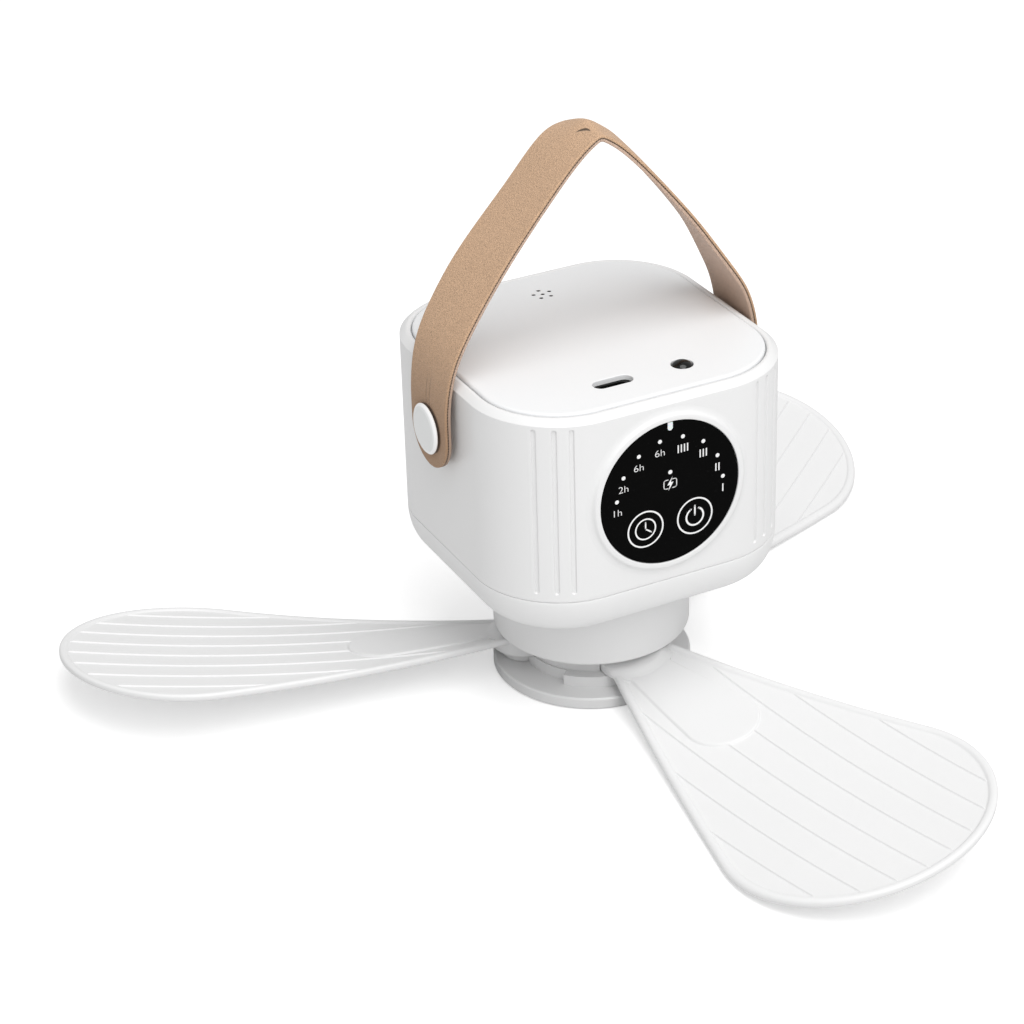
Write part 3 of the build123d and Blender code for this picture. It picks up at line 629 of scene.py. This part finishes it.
# Blade, in its own (u, v): u out from the rotor's axis through the pin, v across.
blade = Sizes(
    phases=(-82.55, 37.45, 157.45), pinAt=22.0, rootU=31.5, rootHalf=11.96, tipU=129.3, tipLong=40.1,
    tipHalf=41.0, thick=1.66, base=5.94, rise=0.0391, curve=7.52, midU=101.85, spanU=92.59, pitch=12.67,
    pitchFall=1.99, shares=(0.0, 0.2, 0.42, 0.64, 0.84),
    # Bead of the rim in (inset, lift): inner foot, crest, round the edge and underneath.
    rim=((3.3, 0), (2.95, 0.03), (2.72, 0.14), (2.52, 0.4), (2.25, 0.62), (1.85, 0.74), (1.4, 0.76),
         (0.95, 0.72), (0.55, 0.58), (0.25, 0.32), (0.07, 0.0), (0, -0.35), (0, -1.15), (0.1, -1.42),
         (0.35, -1.6), (0.8, -1.66), (1.6, -1.66)),
    ribRows=(4.55, 13.65, 22.75, 31.85), ribWide=0.38, ribHigh=0.45, ribSunk=0.02, ribRoot=0.5,
    ribStop=2.7, ribFade=0.8, tongueU=66.0, tongueFrom=26.0, tongueLong=12.3, tongueHalf=11.75,
    tongueRoot=6.0, tongueShift=0.85, tongueLean=-1.4, tongueHigh=0.7, tongueLow=-0.8,
    tongueSide=((-0.3, -0.8), (-0.3, -0.03), (-0.12, 0.04), (0.0, 0.2), (0.12, 0.42), (0.28, 0.59),
                (0.55, 0.68), (1.0, 0.7)),
    knuckle=10.5, knuckleHigh=1.9, knuckleLow=7.7, knuckleTop=15.2, skirt=3.0, pad=7.0, padLow=4.0,
    well=4.6, wellFloor=10.8, pinHole=2.55,
)


def bladeHeight(u, v):
    # base + rise u + curve ((u - mid) / span)^2 + v * tilt(u), the tilt falling along the blade.
    b = blade
    away = (u - b.midU) / b.spanU
    tilt = sin(radians(b.pitch)) - radians(b.pitchFall) * cos(radians(b.pitch)) * away
    return b.base + b.rise * u + b.curve * away**2 + v * tilt


def bladePoints(u, v, lift):
    u, v, lift = np.broadcast_arrays(u, v, lift)
    return np.stack((u, v, bladeHeight(u, v) + lift), -1)


def bladeOutline(inset):
    # Straight sides from the root, tangent to an ellipse of the tip, all moved in by inset.
    b = blade
    inset = np.asarray(inset, float)[:, None]
    long, half, root = b.tipLong - inset, b.tipHalf - inset, b.rootHalf - inset
    stretch = half / long
    back = (b.tipU - b.rootU) * stretch
    reach = np.hypot(back, root)
    turn = np.arcsin(half / reach) - np.arctan2(root, back)
    length = np.sqrt(reach**2 - half**2)
    touchU = -back + length * np.cos(turn)
    touchV = root + length * np.sin(turn)
    slope = (touchV - root) / ((touchU + back) / stretch)
    startV = root - slope * (b.rootU - b.pinAt)
    side = np.linspace(0, 1, 90)[None, :-1]
    arc = np.linspace(-1, 1, 181)[None, :] * np.arctan2(touchV, touchU)
    sideU = b.pinAt + side * (b.tipU + touchU / stretch - b.pinAt)
    sideV = startV + side * (touchV - startV)
    u = np.concatenate((sideU, b.tipU + long * np.cos(arc), sideU[:, ::-1]), 1)
    v = np.concatenate((-sideV, half * np.sin(arc), sideV[:, ::-1]), 1)
    return u, v


def addRibs(shell):
    # cos^2 strips along u at constant v, from the root or the tongue to the rim, fading in at both ends.
    b = blade
    across = np.linspace(-1, 1, 9)
    profile = np.concatenate((b.ribHigh * np.cos(across * pi / 2) ** 2 - b.ribSunk, (-b.ribRoot,)))
    offset = np.concatenate((across * b.ribWide, (0.0,)))
    sideU, sideV = (line[0][-89:][::-1] for line in bladeOutline([b.ribStop]))
    for v0 in [side * row for row in b.ribRows for side in (-1, 1)]:
        start = np.interp(abs(v0), sideV, sideU)
        reach = (v0 - b.tongueShift) / b.tongueHalf
        if abs(reach) < 1:
            start = b.tongueU + b.tongueLong * (1 - reach**2) ** 0.5 - 0.3
        tip = 1 - (v0 / (b.tipHalf - b.ribStop)) ** 2
        ribU = np.linspace(start, b.tipU + (b.tipLong - b.ribStop) * tip**0.5, 110)
        fade = np.clip(np.minimum(ribU - start, ribU[-1] - ribU) / b.ribFade, 0, 1) ** 0.5
        lift = np.where(profile[:, None] > 0, profile[:, None] * fade, profile[:, None])
        shell.grid(bladePoints(ribU, v0 + offset[:, None], lift), tube=True, capEnds=True)


def addTongue(shell):
    # Low raised form from the root to a rounded end, moved in along its outline's normals.
    b = blade
    turn = np.linspace(-pi / 2, pi / 2, 81)
    run = np.linspace(0, 1, 70)
    sideU = b.tongueFrom + run * (b.tongueU - b.tongueFrom)
    low, high = b.tongueLean - b.tongueRoot, b.tongueLean + b.tongueRoot
    bottom, top = b.tongueShift - b.tongueHalf, b.tongueShift + b.tongueHalf
    u = np.concatenate((sideU[:-1], b.tongueU + b.tongueLong * np.cos(turn), sideU[-2::-1]))
    v = np.concatenate(((low + run * (bottom - low))[:-1], b.tongueShift + b.tongueHalf * np.sin(turn),
                        (high + run * (top - high))[-2::-1]))
    du, dv = np.gradient(u), np.gradient(v)
    size = np.hypot(du, dv)
    normalU, normalV = dv / size, -du / size
    inset, lift = np.array(b.tongueSide).T[:, :, None]
    sides = bladePoints(u - normalU * inset, v - normalV * inset, lift)
    edgeU, edgeV = u - normalU * inset[-1], v - normalV * inset[-1]
    spineU = np.clip(u, b.tongueFrom, b.tongueU)
    spineV = np.interp(spineU, (b.tongueFrom, b.tongueU), (b.tongueLean, b.tongueShift))
    share = np.array((0.66, 0.33, 0.0))[:, None]
    roof = bladePoints(spineU + (edgeU - spineU) * share, spineV + (edgeV - spineV) * share, b.tongueHigh)
    floor = bladePoints(spineU, spineV, b.tongueLow)[None]
    shell.grid(np.concatenate((floor, sides, roof)), capEnds=True)


def addKnuckle(shell):
    # Knuckle, pad and the well of the pin: a turned form whose roof follows the blade. Towards the tip
    # a hollow skirt leads from its roof down to the tongue.
    b = blade
    turn = fullTurn(128)
    outer, low, pad, well = b.knuckle, b.knuckleLow, b.pad, b.well
    # Radius, height (none: measured down from the roof), drop, share of the skirt.
    rows = [(well, None, 0.35, 0), (well + 0.35, None, 0, 0), (outer - 2.4, None, 0, 0),
            (outer - 1.5, None, 0.1, 0), (outer - 0.7, None, 0.35, 0), (outer, None, 0.75, 0),
            (outer, None, 1.05, 0.3), (outer, None, 1.2, 0.6), (outer, None, 1.35, 1),
            (outer, None, 2.2, 1), (outer, None, 2.2, 0), (outer, low + 0.4, 0, 0), (outer - 0.4, low, 0, 0),
            (pad, low, 0, 0), (pad, b.padLow + 0.2, 0, 0), (pad - 0.2, b.padLow, 0, 0),
            (b.pinHole, b.padLow, 0, 0), (b.pinHole, b.wellFloor, 0, 0), (well, b.wellFloor, 0, 0)]
    radius, fixed, drop, skirt = np.array(rows, float).T[:, :, None]
    radius = radius + skirt * b.skirt * np.maximum(np.cos(turn), 0)
    x, y = radius * np.cos(turn) + b.pinAt, radius * np.sin(turn)
    roof = np.minimum(b.knuckleTop, bladeHeight(x, y) + b.knuckleHigh)
    z = np.where(np.isnan(fixed), roof - drop, fixed)
    shell.grid(np.stack((x, y, z), -1), tube=True, ring=True)


def bladeShell():
    shell = Shell()
    b = blade
    inset, lift = np.array(b.rim).T
    u, v = bladeOutline(inset)
    share = np.array(b.shares)[:, None]

    def inner(row, lift):
        # Rows from the middle line out to a row of the rim.
        spineU = np.minimum(u[row], b.tipU)
        return bladePoints(spineU + (u[row] - spineU) * share, v[row] * share, lift)

    rim = bladePoints(u, v, lift[:, None])
    shell.grid(np.concatenate((inner(0, 0.0), rim, inner(-1, -b.thick)[::-1])), capEnds=True)
    addRibs(shell)
    addTongue(shell)
    addKnuckle(shell)
    return shell


bladeParts = bladeShell()
bladeRaw = bladeParts.points
for index, phase in enumerate(blade.phases):
    c, d = cos(radians(phase)), sin(radians(phase))
    turned = np.array(((c, d, 0), (-d, c, 0), (0, 0, 1)))
    bladeParts.points = [points @ turned for points in bladeRaw]
    name = "blade_%d" % (index + 1)
    makePiece("fan_" + name, bladeParts, "white_blade", [name], name)

strap = Sizes(
    half=12.25, endHalf=11.75, endDrop=0.7, taperAt=12.0, taperLong=20.0, thick=2.0, seam=0.95,
    seamGap=0.02, edgeSoft=0.3, seamSoft=0.2, puff=0.12, crestZ=184.1, rivetZ=97.0,
    # Slope of the arch in degrees at these distances from its crest.
    reach=(0.0, 1.6, 5.0, 9.5, 14.0, 19.0, 27.0, 40.0, 51.0, 58.0, 64.0, 71.0, 77.0, 83.0, 90.0, 101.0),
    slope=(0, 29, 36, 42.5, 46, 48.3, 49.5, 51.3, 54, 56, 57.8, 60.6, 65, 72.5, 80.5, 90),
    step=0.05, smooth=50,
    # Turn and shift of the upper part, outward bow of the arms, and where each fades, by height.
    twist=0.105, shift=0.65, high=(131.5, 156.0), highLean=(8.5, 12.0), lowShift=-0.45, bow=1.0,
    bowFade=0.6, bowHigh=(118.0, 146.0), spread=0.04, free=(100.0, 140.0), sag=5.0, sagAt=1.5, sagWide=8.0,
    sagFrom=-1.0, sagAbove=140.0, dent=0.22, dentRadius=11.0, dentWide=3.0,
    # Height and fade of the painted shade low on the arms. Then creases over the rivet and the fold beside
    # the crest, pressed into the leather and darkened with painted shade, and the radius of the painted
    # shadow round the cap's edge.
    dark=(96.0, 36.0), creases=(0.9, -1.3), creaseHalf=0.3, creaseLow=104.5, creaseHigh=112.0,
    foldAt=(-2.2, -4.5), foldTurn=(460, 887), capLine=7.75,
)


def leatherFinish(name, colour, dark, pebble, depth, marked):
    # Pebbled leather: cells with soft valleys, a dark seam in the cut edge, and painted shade low down by
    # the rivets.
    k = strap
    look = Finish(name, {"Specular IOR Level": 0.35, "Sheen Weight": 0.1, "Sheen Roughness": 0.5})
    drift = look.node("ShaderNodeTexNoise", None, {"Vector": look.place, "Scale": 900.0}, "Color")
    warp = look.node("ShaderNodeVectorMath", {"operation": "MULTIPLY_ADD"},
                     {0: drift, 1: grey(0.0005), 2: look.place})
    cells = look.node("ShaderNodeTexVoronoi", {"feature": "SMOOTH_F1"},
                      {"Vector": warp, "Scale": pebble, "Smoothness": 0.4}, "Distance")
    fine, broad = look.noise(5200, 2), look.noise(46, 4)
    tone = look.mix(broad, shade(colour, 0.96), shade(colour, 1.04))
    tone = look.mix(cells.above(0.28, 0.3) * 0.75, tone, shade(colour, 0.5))
    tone = look.mix(fine.above(0.42, 0.16) * 0.7, tone, shade(colour, 1.4))
    x, y, z = look.axes()
    # Painted shade: darker low on the arms, where they come close to the body.
    low = 1 - z.above(k.dark[0] * mm, k.dark[1] * mm)
    tone = look.mix(low * 0.8, tone, dark)
    relief = 1 - cells * 1.1 + fine * 0.35
    if marked:
        # Painted shade in the creases and the fold; both are also pressed in by the relief below.
        left, right = ((k.creaseHalf * mm - abs(y - at * mm)).above(0, 0.2 * mm) for at in k.creases)
        creases = (left + right) * z.above(k.creaseLow * mm, 1 * mm)
        creases = creases * (1 - z.above(k.creaseHigh * mm, 4 * mm))
        foldX, foldY = x - k.foldAt[0] * mm, y - k.foldAt[1] * mm
        c, d = k.foldTurn
        u, v = foldX * c - foldY * d, foldX * d + foldY * c
        foldAndShade = (0.55 - abs(v + u * u * 0.1) - u * u * 0.065).above(0, 0.2)
        # Painted shadow: a near-black ring on the leather just outside the rivet's cap.
        line = 1 - look.reach(y, z - k.rivetZ * mm).above(k.capLine * mm, 0.25 * mm)
        tone = look.mix(creases * 0.6, tone, shade(dark, 0.7))
        tone = look.mix(line * 0.75, tone, shade(dark, 0.16))
        tone = look.mix(foldAndShade * 0.9, tone, shade(dark, 0.16))
        relief = relief - creases * 1.5 - foldAndShade * 4
    dashes = look.math("SINE", look.value("along") * 6600) * 0.25 + 0.75
    tone = look.mix(look.value("seam").above(0.3, 0.5) * dashes, tone, shade(dark, 0.16))
    look.feed("Base Color", tone)
    look.feed("Roughness", cells * 0.25 + broad * 0.08 + 0.5)
    look.bump(relief, 0.55, depth)
    return look.material


# Colour, dark colour, cells in a metre, depth of the relief, with or without the marks.
leathers = {
    "tan_leather": ((0.565, 0.368, 0.23), (0.33, 0.2, 0.117), 2700.0, 0.00028, True),
    "lining_leather": ((0.54, 0.385, 0.295), (0.34, 0.235, 0.17), 2900.0, 0.00005, False),
}
finishes.update((name, leatherFinish(name, *look)) for name, look in leathers.items())

# The arch: its slope is smoothed and added up along half of it, from 20 mm before the crest.
lead = 400
run = np.arange(-lead * strap.step, 160.0, strap.step)
lean = np.sign(run) * np.interp(np.abs(run), strap.reach, strap.slope)
lean = np.radians(np.convolve(lean, np.ones(strap.smooth) / strap.smooth, "same"))[lead:]
run = run[lead:]
archX = np.concatenate(((0.0,), np.cumsum(np.cos(lean))[:-1])) * strap.step
archZ = strap.crestZ - np.concatenate(((0.0,), np.cumsum(np.sin(lean))[:-1])) * strap.step
strapEnd = np.interp(-strap.rivetZ, -archZ, run)


def strapPath(p):
    # Outer face of the arch and its normal, p along it from the crest.
    q, side = np.abs(p), np.where(p < 0, -1, 1)
    angle = np.interp(q, run, lean)
    return np.interp(q, run, archX) * side, np.interp(q, run, archZ), np.sin(angle) * side, np.cos(angle)


def softStep(value, low, high):
    # t^2 (3 - 2 t) between two levels.
    t = np.clip((value - low) / (high - low), 0, 1)
    return t * t * (3 - 2 * t)


def strapShell(section, puff, columns):
    # Closed section of (share across, inset, depth) rows carried along the arch, round at both ends.
    # Above the rivets the band turns a little and its back edge sags at the crest.
    k = strap
    share, inset, depth = np.array(section, float).T[:, :, None]
    turn = quarterTurn(26)[::-1][None, :]
    last = strapEnd + k.endDrop
    along = np.linspace(-last, last, columns)[None, 1:-1]
    radius = k.endHalf - inset
    taper = np.clip((strapEnd - k.taperAt - np.abs(along)) / k.taperLong, 0, 1)
    wide = radius + (k.half - k.endHalf) * taper
    p = np.concatenate((-last - radius * np.sin(turn), along + 0 * radius,
                        last + radius * np.sin(turn[:, ::-1])), 1)
    half = np.concatenate((radius * np.cos(turn), wide, radius * np.cos(turn[:, ::-1])), 1)
    y = share * half
    x, z, normalX, normalZ = strapPath(p)
    outside = depth < k.edgeSoft
    near = np.clip((k.dentRadius - np.hypot(y, z - k.rivetZ)) / k.dentWide, 0, 1)
    sunk = k.dent * near**2 * outside
    crown = puff * (1 - share**2) * outside
    side = np.sign(x)
    free = softStep(z, *k.free)
    high = softStep(z, *(level - leaning * side for level, leaning in zip(k.high, k.highLean)))
    d = depth + sunk - crown - k.spread * y * free
    x = x - normalX * d
    z = z - normalZ * d
    back = np.clip((y - k.sagFrom) / (k.half - k.sagFrom), 0, 1) ** 1.4
    z = z - k.sag * back * np.exp(-(((x - k.sagAt) / k.sagWide) ** 2)) * (z > k.sagAbove)
    bow = side * k.bow * (1 - k.bowFade * softStep(z, *k.bowHigh))
    x = x + high * (k.shift + k.twist * y) + (1 - high) * (free * k.lowShift + bow)
    shell = Shell()
    shell.grid(np.stack((x, y, z), -1), tube=True)
    return shell, np.broadcast_to(depth, x.shape), p


def bandSection(top, bottom, soft, softBack, across):
    # Face out, rounded cut edge, face in, rounded cut edge.
    spread = np.linspace(-1, 1, across)
    turn = quarterTurn(5)
    front = [(1, soft * (1 - sin(a)), top + soft * (1 - cos(a))) for a in turn[1:]]
    back = [(1, softBack * (1 - cos(a)), bottom - softBack * (1 - sin(a))) for a in turn]
    rows = [(f, soft, top) for f in spread] + front + back
    rows += [(f, softBack, bottom) for f in spread[::-1][1:-1]]
    rows += [(-1, e, d) for _, e, d in back[::-1]] + [(-1, e, d) for _, e, d in front[::-1]]
    return rows


seam, gap, soft, seamSoft = (strap[key] for key in ("seam", "seamGap", "edgeSoft", "seamSoft"))
shell, depth, p = strapShell(bandSection(0.0, seam - gap, soft, seamSoft, 61), strap.puff, 560)
makePiece("strap_band", shell, "tan_leather", ["strap_outer"], "strap", sharp=60,
          values={"seam": np.clip((depth - seam + 0.3) / 0.14, 0, 1), "along": p / 1000})
shell, depth, p = strapShell(bandSection(seam + gap, strap.thick, seamSoft, soft, 41), 0.0, 420)
makePiece("strap_backing", shell, "lining_leather", ["strap_lining"], "strap", sharp=60,
          values={"seam": np.clip((seam + 0.24 - depth) / 0.14, 0, 1), "along": p / 1000})

tooth = Sizes(half=0.85, low=105.0, top=107.6, front=-50.92, back=-49.5)


def toothShell():
    # Flat clear tooth at the top of the dial, its lower end a half circle.
    shell = Shell()
    t = tooth
    turn = np.linspace(pi, 2 * pi, 25)
    plan = np.column_stack((t.half * np.cos(turn), t.low + t.half * (1 + np.sin(turn))))
    plan = np.concatenate((plan, ((t.half, t.top), (-t.half, t.top))))
    shell.grid(np.stack([upright(plan, y) for y in (t.front, t.back)]), ring=True)
    count = len(plan)
    shell.faces += [list(range(count)), list(range(2 * count - 1, count - 1, -1))]
    return shell


makePiece("dial_light", toothShell(), "clear_white", ["status_light_pipe"])

# Rivets and spacers: radius and distance from the middle of the body.
rivet = Sizes(
    dome=6.4, domeAt=56.1, domeHigh=0.15, shank=2.5, washer=46.3, tail=3.8, tailHigh=1.2,
    # Radius where the painted highlight on the cap's bevel begins.
    bevelFrom=6.9,
    rim=((6.6, 56.06), (7.5, 55.62), (7.8, 55.42), (7.95, 55.2), (7.9, 54.95), (7.7, 54.75), (7.2, 54.6),
         (6.6, 54.4)),
)
spacer = Sizes(radius=5.0, bore=2.6, start=49.9, stop=52.7, soft=0.3)


def rivetFinish():
    # Lacquered cap, with a painted highlight on the bevel round it.
    look = Finish("rivet_white", {"Coat Weight": 0.4, "Coat Roughness": 0.1})
    cloud = look.noise(60, 3)
    x, y, z = look.axes()
    # Painted highlight: the rim of the cap past this radius turns near white.
    bevel = look.reach(y, z - strap.rivetZ * mm).above(rivet.bevelFrom * mm, 0.4 * mm)
    tone = look.mix(cloud, (0.775, 0.79, 0.785), (0.8, 0.812, 0.81))
    look.feed("Base Color", look.mix(bevel, tone, grey(0.95)))
    look.feed("Roughness", cloud * 0.08 + 0.18)
    return look.material


def rivetShell():
    # Low dome on a rolled rim, shank and the set tail.
    r = rivet
    ball = (r.dome ** 2 + r.domeHigh ** 2) / (2 * r.domeHigh)
    profile = [(ball * sin(a), r.domeAt + r.domeHigh - ball * (1 - cos(a)))
               for a in np.linspace(0.0001, np.arcsin(r.dome / ball), 20)]
    tailEnd = r.washer - r.tailHigh
    profile += [*r.rim, *softLine([(r.shank, r.rim[-1][1], 0), (r.shank, r.washer, 0),
                                   (r.tail, r.washer, 0.3), (r.tail, tailEnd, 0.5), (0.001, tailEnd, 0)])]
    shell = Shell()
    shell.lathe(profile, 96, (0, 0, strap.rivetZ), (1, 0, 0))
    return shell


def spacerShell():
    # Two turned rings between the wall and the band, on the rivets' axis.
    shell = Shell()
    s = spacer
    line = softLine([(s.bore, s.start, 0), (s.radius, s.start, 0), (s.radius, s.stop, s.soft),
                     (s.bore, s.stop, s.soft)])
    for side in (-1, 1):
        shell.lathe(line, 64, (0, 0, strap.rivetZ), (side, 0, 0))
    return shell


finishes["rivet_white"] = rivetFinish()
rivetParts = rivetShell()
makePiece("strap_rivet_right", rivetParts, "rivet_white", ["rivet_right"], sharp=30)
rivetParts.points = [points * (-1, -1, 1) for points in rivetParts.points]
makePiece("strap_rivet_left", rivetParts, "rivet_white", ["rivet_left"], sharp=30)
makePiece("strap_spacers", spacerShell(), "spacer_white", ["rivet_spacers"])

# Print of the dial, in (x, z) just in front of the panel.
dial = Sizes(
    front=-50.93, dotRing=18.0, dot=0.66, turn=1.3, labelDrop=3.85, textSize=3.2, textWide=1.15, thin=-0.04,
    angles=(-86.6, -61.9, -37.1, -12.4, 12.4, 37.1, 61.9, 86.6), hours=("1h", "2h", "6h", "6h"),
    barHigh=2.6, barWide=0.42, barPitch=1.05, charge=(0.0, 91.2), chargeDot=0.7, battery=(0.0, 87.3),
    clock=(-8.4, 74.25), power=(8.4, 74.25), keyRing=5.85, line=0.48,
    # Right half of the battery's frame and the bolt, from the middle of the battery.
    frame=((0.75, 1.45), (1.7, 1.45), (2.15, 1.05), (2.15, -1.05), (1.7, -1.45), (0.75, -1.45)),
    bolt=((0.75, 2.3), (-1.05, -0.35), (-0.1, -0.35), (-0.65, -2.3), (1.1, 0.5), (0.15, 0.5)),
)


def printShell():
    shell = Shell()
    d = dial

    def sheet(plan, faces):
        shell.add(upright(np.asarray(plan, float).reshape(-1, 2), d.front), faces)

    def dot(x, z, radius, count=32):
        sheet(circleLoop(radius, x, z, count), [list(range(count))])

    def arc(x, z, radius, wide, start=0.0, stop=360.0, ends=False):
        turn = np.radians(np.linspace(start, stop, 97))
        rows = [np.column_stack((x + r * np.cos(turn), z + r * np.sin(turn)))[::-1]
                for r in (radius - wide / 2, radius + wide / 2)]
        sheet(rows, gridFaces(2, 97, False, False))
        if ends:
            for end in (turn[0], turn[-1]):
                dot(x + radius * cos(end), z + radius * sin(end), wide / 2)

    def bar(x0, z0, x1, z1, wide, roundEnds=True):
        along = np.array((x1 - x0, z1 - z0)) / hypot(x1 - x0, z1 - z0)
        side = np.array((-along[1], along[0])) * wide / 2
        a, b = np.array((x0, z0)), np.array((x1, z1))
        sheet([a - side, b - side, b + side, a + side], [[0, 1, 2, 3]])
        if roundEnds:
            dot(x0, z0, wide / 2, 16)
            dot(x1, z1, wide / 2, 16)

    def lettering(text, x, z):
        curve = bpy.data.curves.new("label", "FONT")
        curve.body, curve.size, curve.offset = text, d.textSize, d.thin
        curve.align_x, curve.align_y = "CENTER", "CENTER"
        holder = bpy.data.objects.new("label", curve)
        mesh = bpy.data.meshes.new_from_object(holder)
        plan = np.zeros(len(mesh.vertices) * 3)
        mesh.vertices.foreach_get("co", plan)
        plan = plan.reshape(-1, 3)[:, :2] * (d.textWide, 1.0) + (x, z)
        start = shell.add(upright(plan, d.front), [])
        shell.faces += [[start + v for v in face.vertices] for face in mesh.polygons]
        bpy.data.objects.remove(holder)
        bpy.data.meshes.remove(mesh)
        bpy.data.curves.remove(curve)

    for k, angle in enumerate(d.angles):
        angle = radians(angle + d.turn)
        x, z = d.dotRing * sin(angle), housing.dialZ + d.dotRing * cos(angle)
        dot(x, z, d.dot)
        low, half = z - d.labelDrop, d.barHigh / 2
        if k < len(d.hours):
            lettering(d.hours[k], x, low)
            continue
        # Towards the last dot the bars get fewer, down to one.
        count = len(d.angles) - k
        for step in range(count):
            barX = x + (step - (count - 1) / 2) * d.barPitch
            bar(barX, low - half, barX, low + half, d.barWide, False)
    dot(*d.charge, d.chargeDot)
    x, z = d.battery
    for side in (-1, 1):
        line = [(x + side * px, z + pz) for px, pz in d.frame]
        for start, stop in zip(line[:-1], line[1:]):
            bar(*start, *stop, 0.3)
    sheet([(x + px, z + pz) for px, pz in d.bolt], [[0, 1, 2, 5], [2, 3, 4, 5]])
    for key in ("clock", "power"):
        arc(*d[key], d.keyRing, d.line * 1.1)
    x, z = d.clock
    arc(x, z, 3.35, d.line)
    bar(x, z + 2.2, x, z, d.line * 0.95)
    bar(x, z, x + 1.9, z - 1.35, d.line * 0.95)
    x, z = d.power
    arc(x, z - 0.2, 2.9, d.line * 1.25, 118, 422, True)
    bar(x, z + 3.4, x, z + 0.3, d.line * 1.15)
    return shell


makePiece("panel_print", printShell(), "clear_white", weld=False, finish=finishes["print_white"])

# Floor, light and camera, in metres and watts.
studio = Sizes(
    azimuth=-26.22, elevation=29.03, distance=0.9097, target=(-0.02195, 0.01055, 0.05419), roll=-1.75,
    lens=101.94, floorZ=-0.0002, floorHalf=6.0, floorGlow=0.44, world=0.54,
    # Name, place, aim, diameter, power.
    lamps=(("key", (-0.12, -1.05, 1.0), (0, 0, 0.07), 0.7, 4.8),
           ("top", (0.0, -0.42, 1.25), (0, 0, 0.08), 1.1, 9.7)),
)


def floorPiece():
    # One wide quad under the disc.
    wide, z = studio.floorHalf, studio.floorZ
    mesh = bpy.data.meshes.new("floor")
    corners = [(-wide, -wide, z), (wide, -wide, z), (wide, wide, z), (-wide, wide, z)]
    mesh.from_pydata(corners, [], [(0, 1, 2, 3)])
    look = Finish("floor_paper", {"Specular IOR Level": 0.0})
    paper = look.noise(3.0, 2)
    # Paler far from the object, where the lamps no longer reach.
    away = look.node("ShaderNodeVectorMath", {"operation": "LENGTH"}, {0: look.place}, "Value")
    near = look.mix(paper, grey(0.77), grey(0.79))
    look.feed("Base Color", look.mix(away.above(0.5, 0.9), near, grey(0.98)))
    look.feed("Roughness", paper * 0.05 + 0.9)
    # Seen by the camera, a share of plain white is added so that lit paper reads white.
    seen = look.node("ShaderNodeLightPath", out="Is Camera Ray")
    plain = Wire(look, look.shader.outputs[0])
    glow = look.node("ShaderNodeEmission", None, {"Color": (1, 1, 1, 1), "Strength": studio.floorGlow})
    lit = look.node("ShaderNodeAddShader", None, {0: plain, 1: glow})
    both = look.node("ShaderNodeMixShader", None, {0: seen, 1: plain, 2: lit})
    look.tree.links.new(both.socket, look.tree.nodes["Material Output"].inputs["Surface"])
    mesh.materials.append(look.material)
    placed("floor", mesh)


def softLamp(name, place, aim, size, power):
    lamp = bpy.data.lights.new(name, "AREA")
    lamp.shape, lamp.size, lamp.energy = "DISK", size, power
    holder = placed(name, lamp)
    holder.location = place
    holder.rotation_euler = (Vector(aim) - Vector(place)).to_track_quat("-Z", "Y").to_euler()


class Sky(Finish):
    def __init__(self, world):
        self.tree, self.shader = world.node_tree, world.node_tree.nodes["Background"]


def studioWorld():
    # White where the camera sees it, a lower even grey as light on the object.
    world = bpy.data.worlds.new("studio")
    world.use_nodes = True
    bpy.context.scene.world = world
    sky = Sky(world)
    rays = [sky.node("ShaderNodeLightPath", out=out) for out in ("Is Camera Ray", "Is Transmission Ray")]
    levels = {"Value": sky.math("MAXIMUM", *rays), "To Min": studio.world}
    sky.shader.inputs["Color"].default_value = (1, 1, 1, 1)
    sky.feed("Strength", sky.node("ShaderNodeMapRange", None, levels, "Result"))


def studioCamera():
    az, el, roll = (radians(studio[key]) for key in ("azimuth", "elevation", "roll"))
    back = Vector((sin(az) * cos(el), -cos(az) * cos(el), sin(el)))
    level = Vector((cos(az), sin(az), 0))
    rise = back.cross(level)
    right = level * cos(roll) + rise * sin(roll)
    up = rise * cos(roll) - level * sin(roll)
    camera = bpy.data.cameras.new("camera")
    camera.lens, camera.sensor_width = studio.lens, 36.0
    camera.clip_start, camera.clip_end = 0.05, 20.0
    place = Matrix((right, up, back)).transposed().to_4x4()
    place.translation = Vector(studio.target) + back * studio.distance
    bpy.context.scene.camera = placed("camera", camera)
    bpy.context.scene.camera.matrix_world = place


floorPiece()
for lamp in studio.lamps:
    softLamp(*lamp)
studioWorld()
studioCamera()
bpy.context.scene.view_settings.view_transform = "Standard"
print("studio ready")
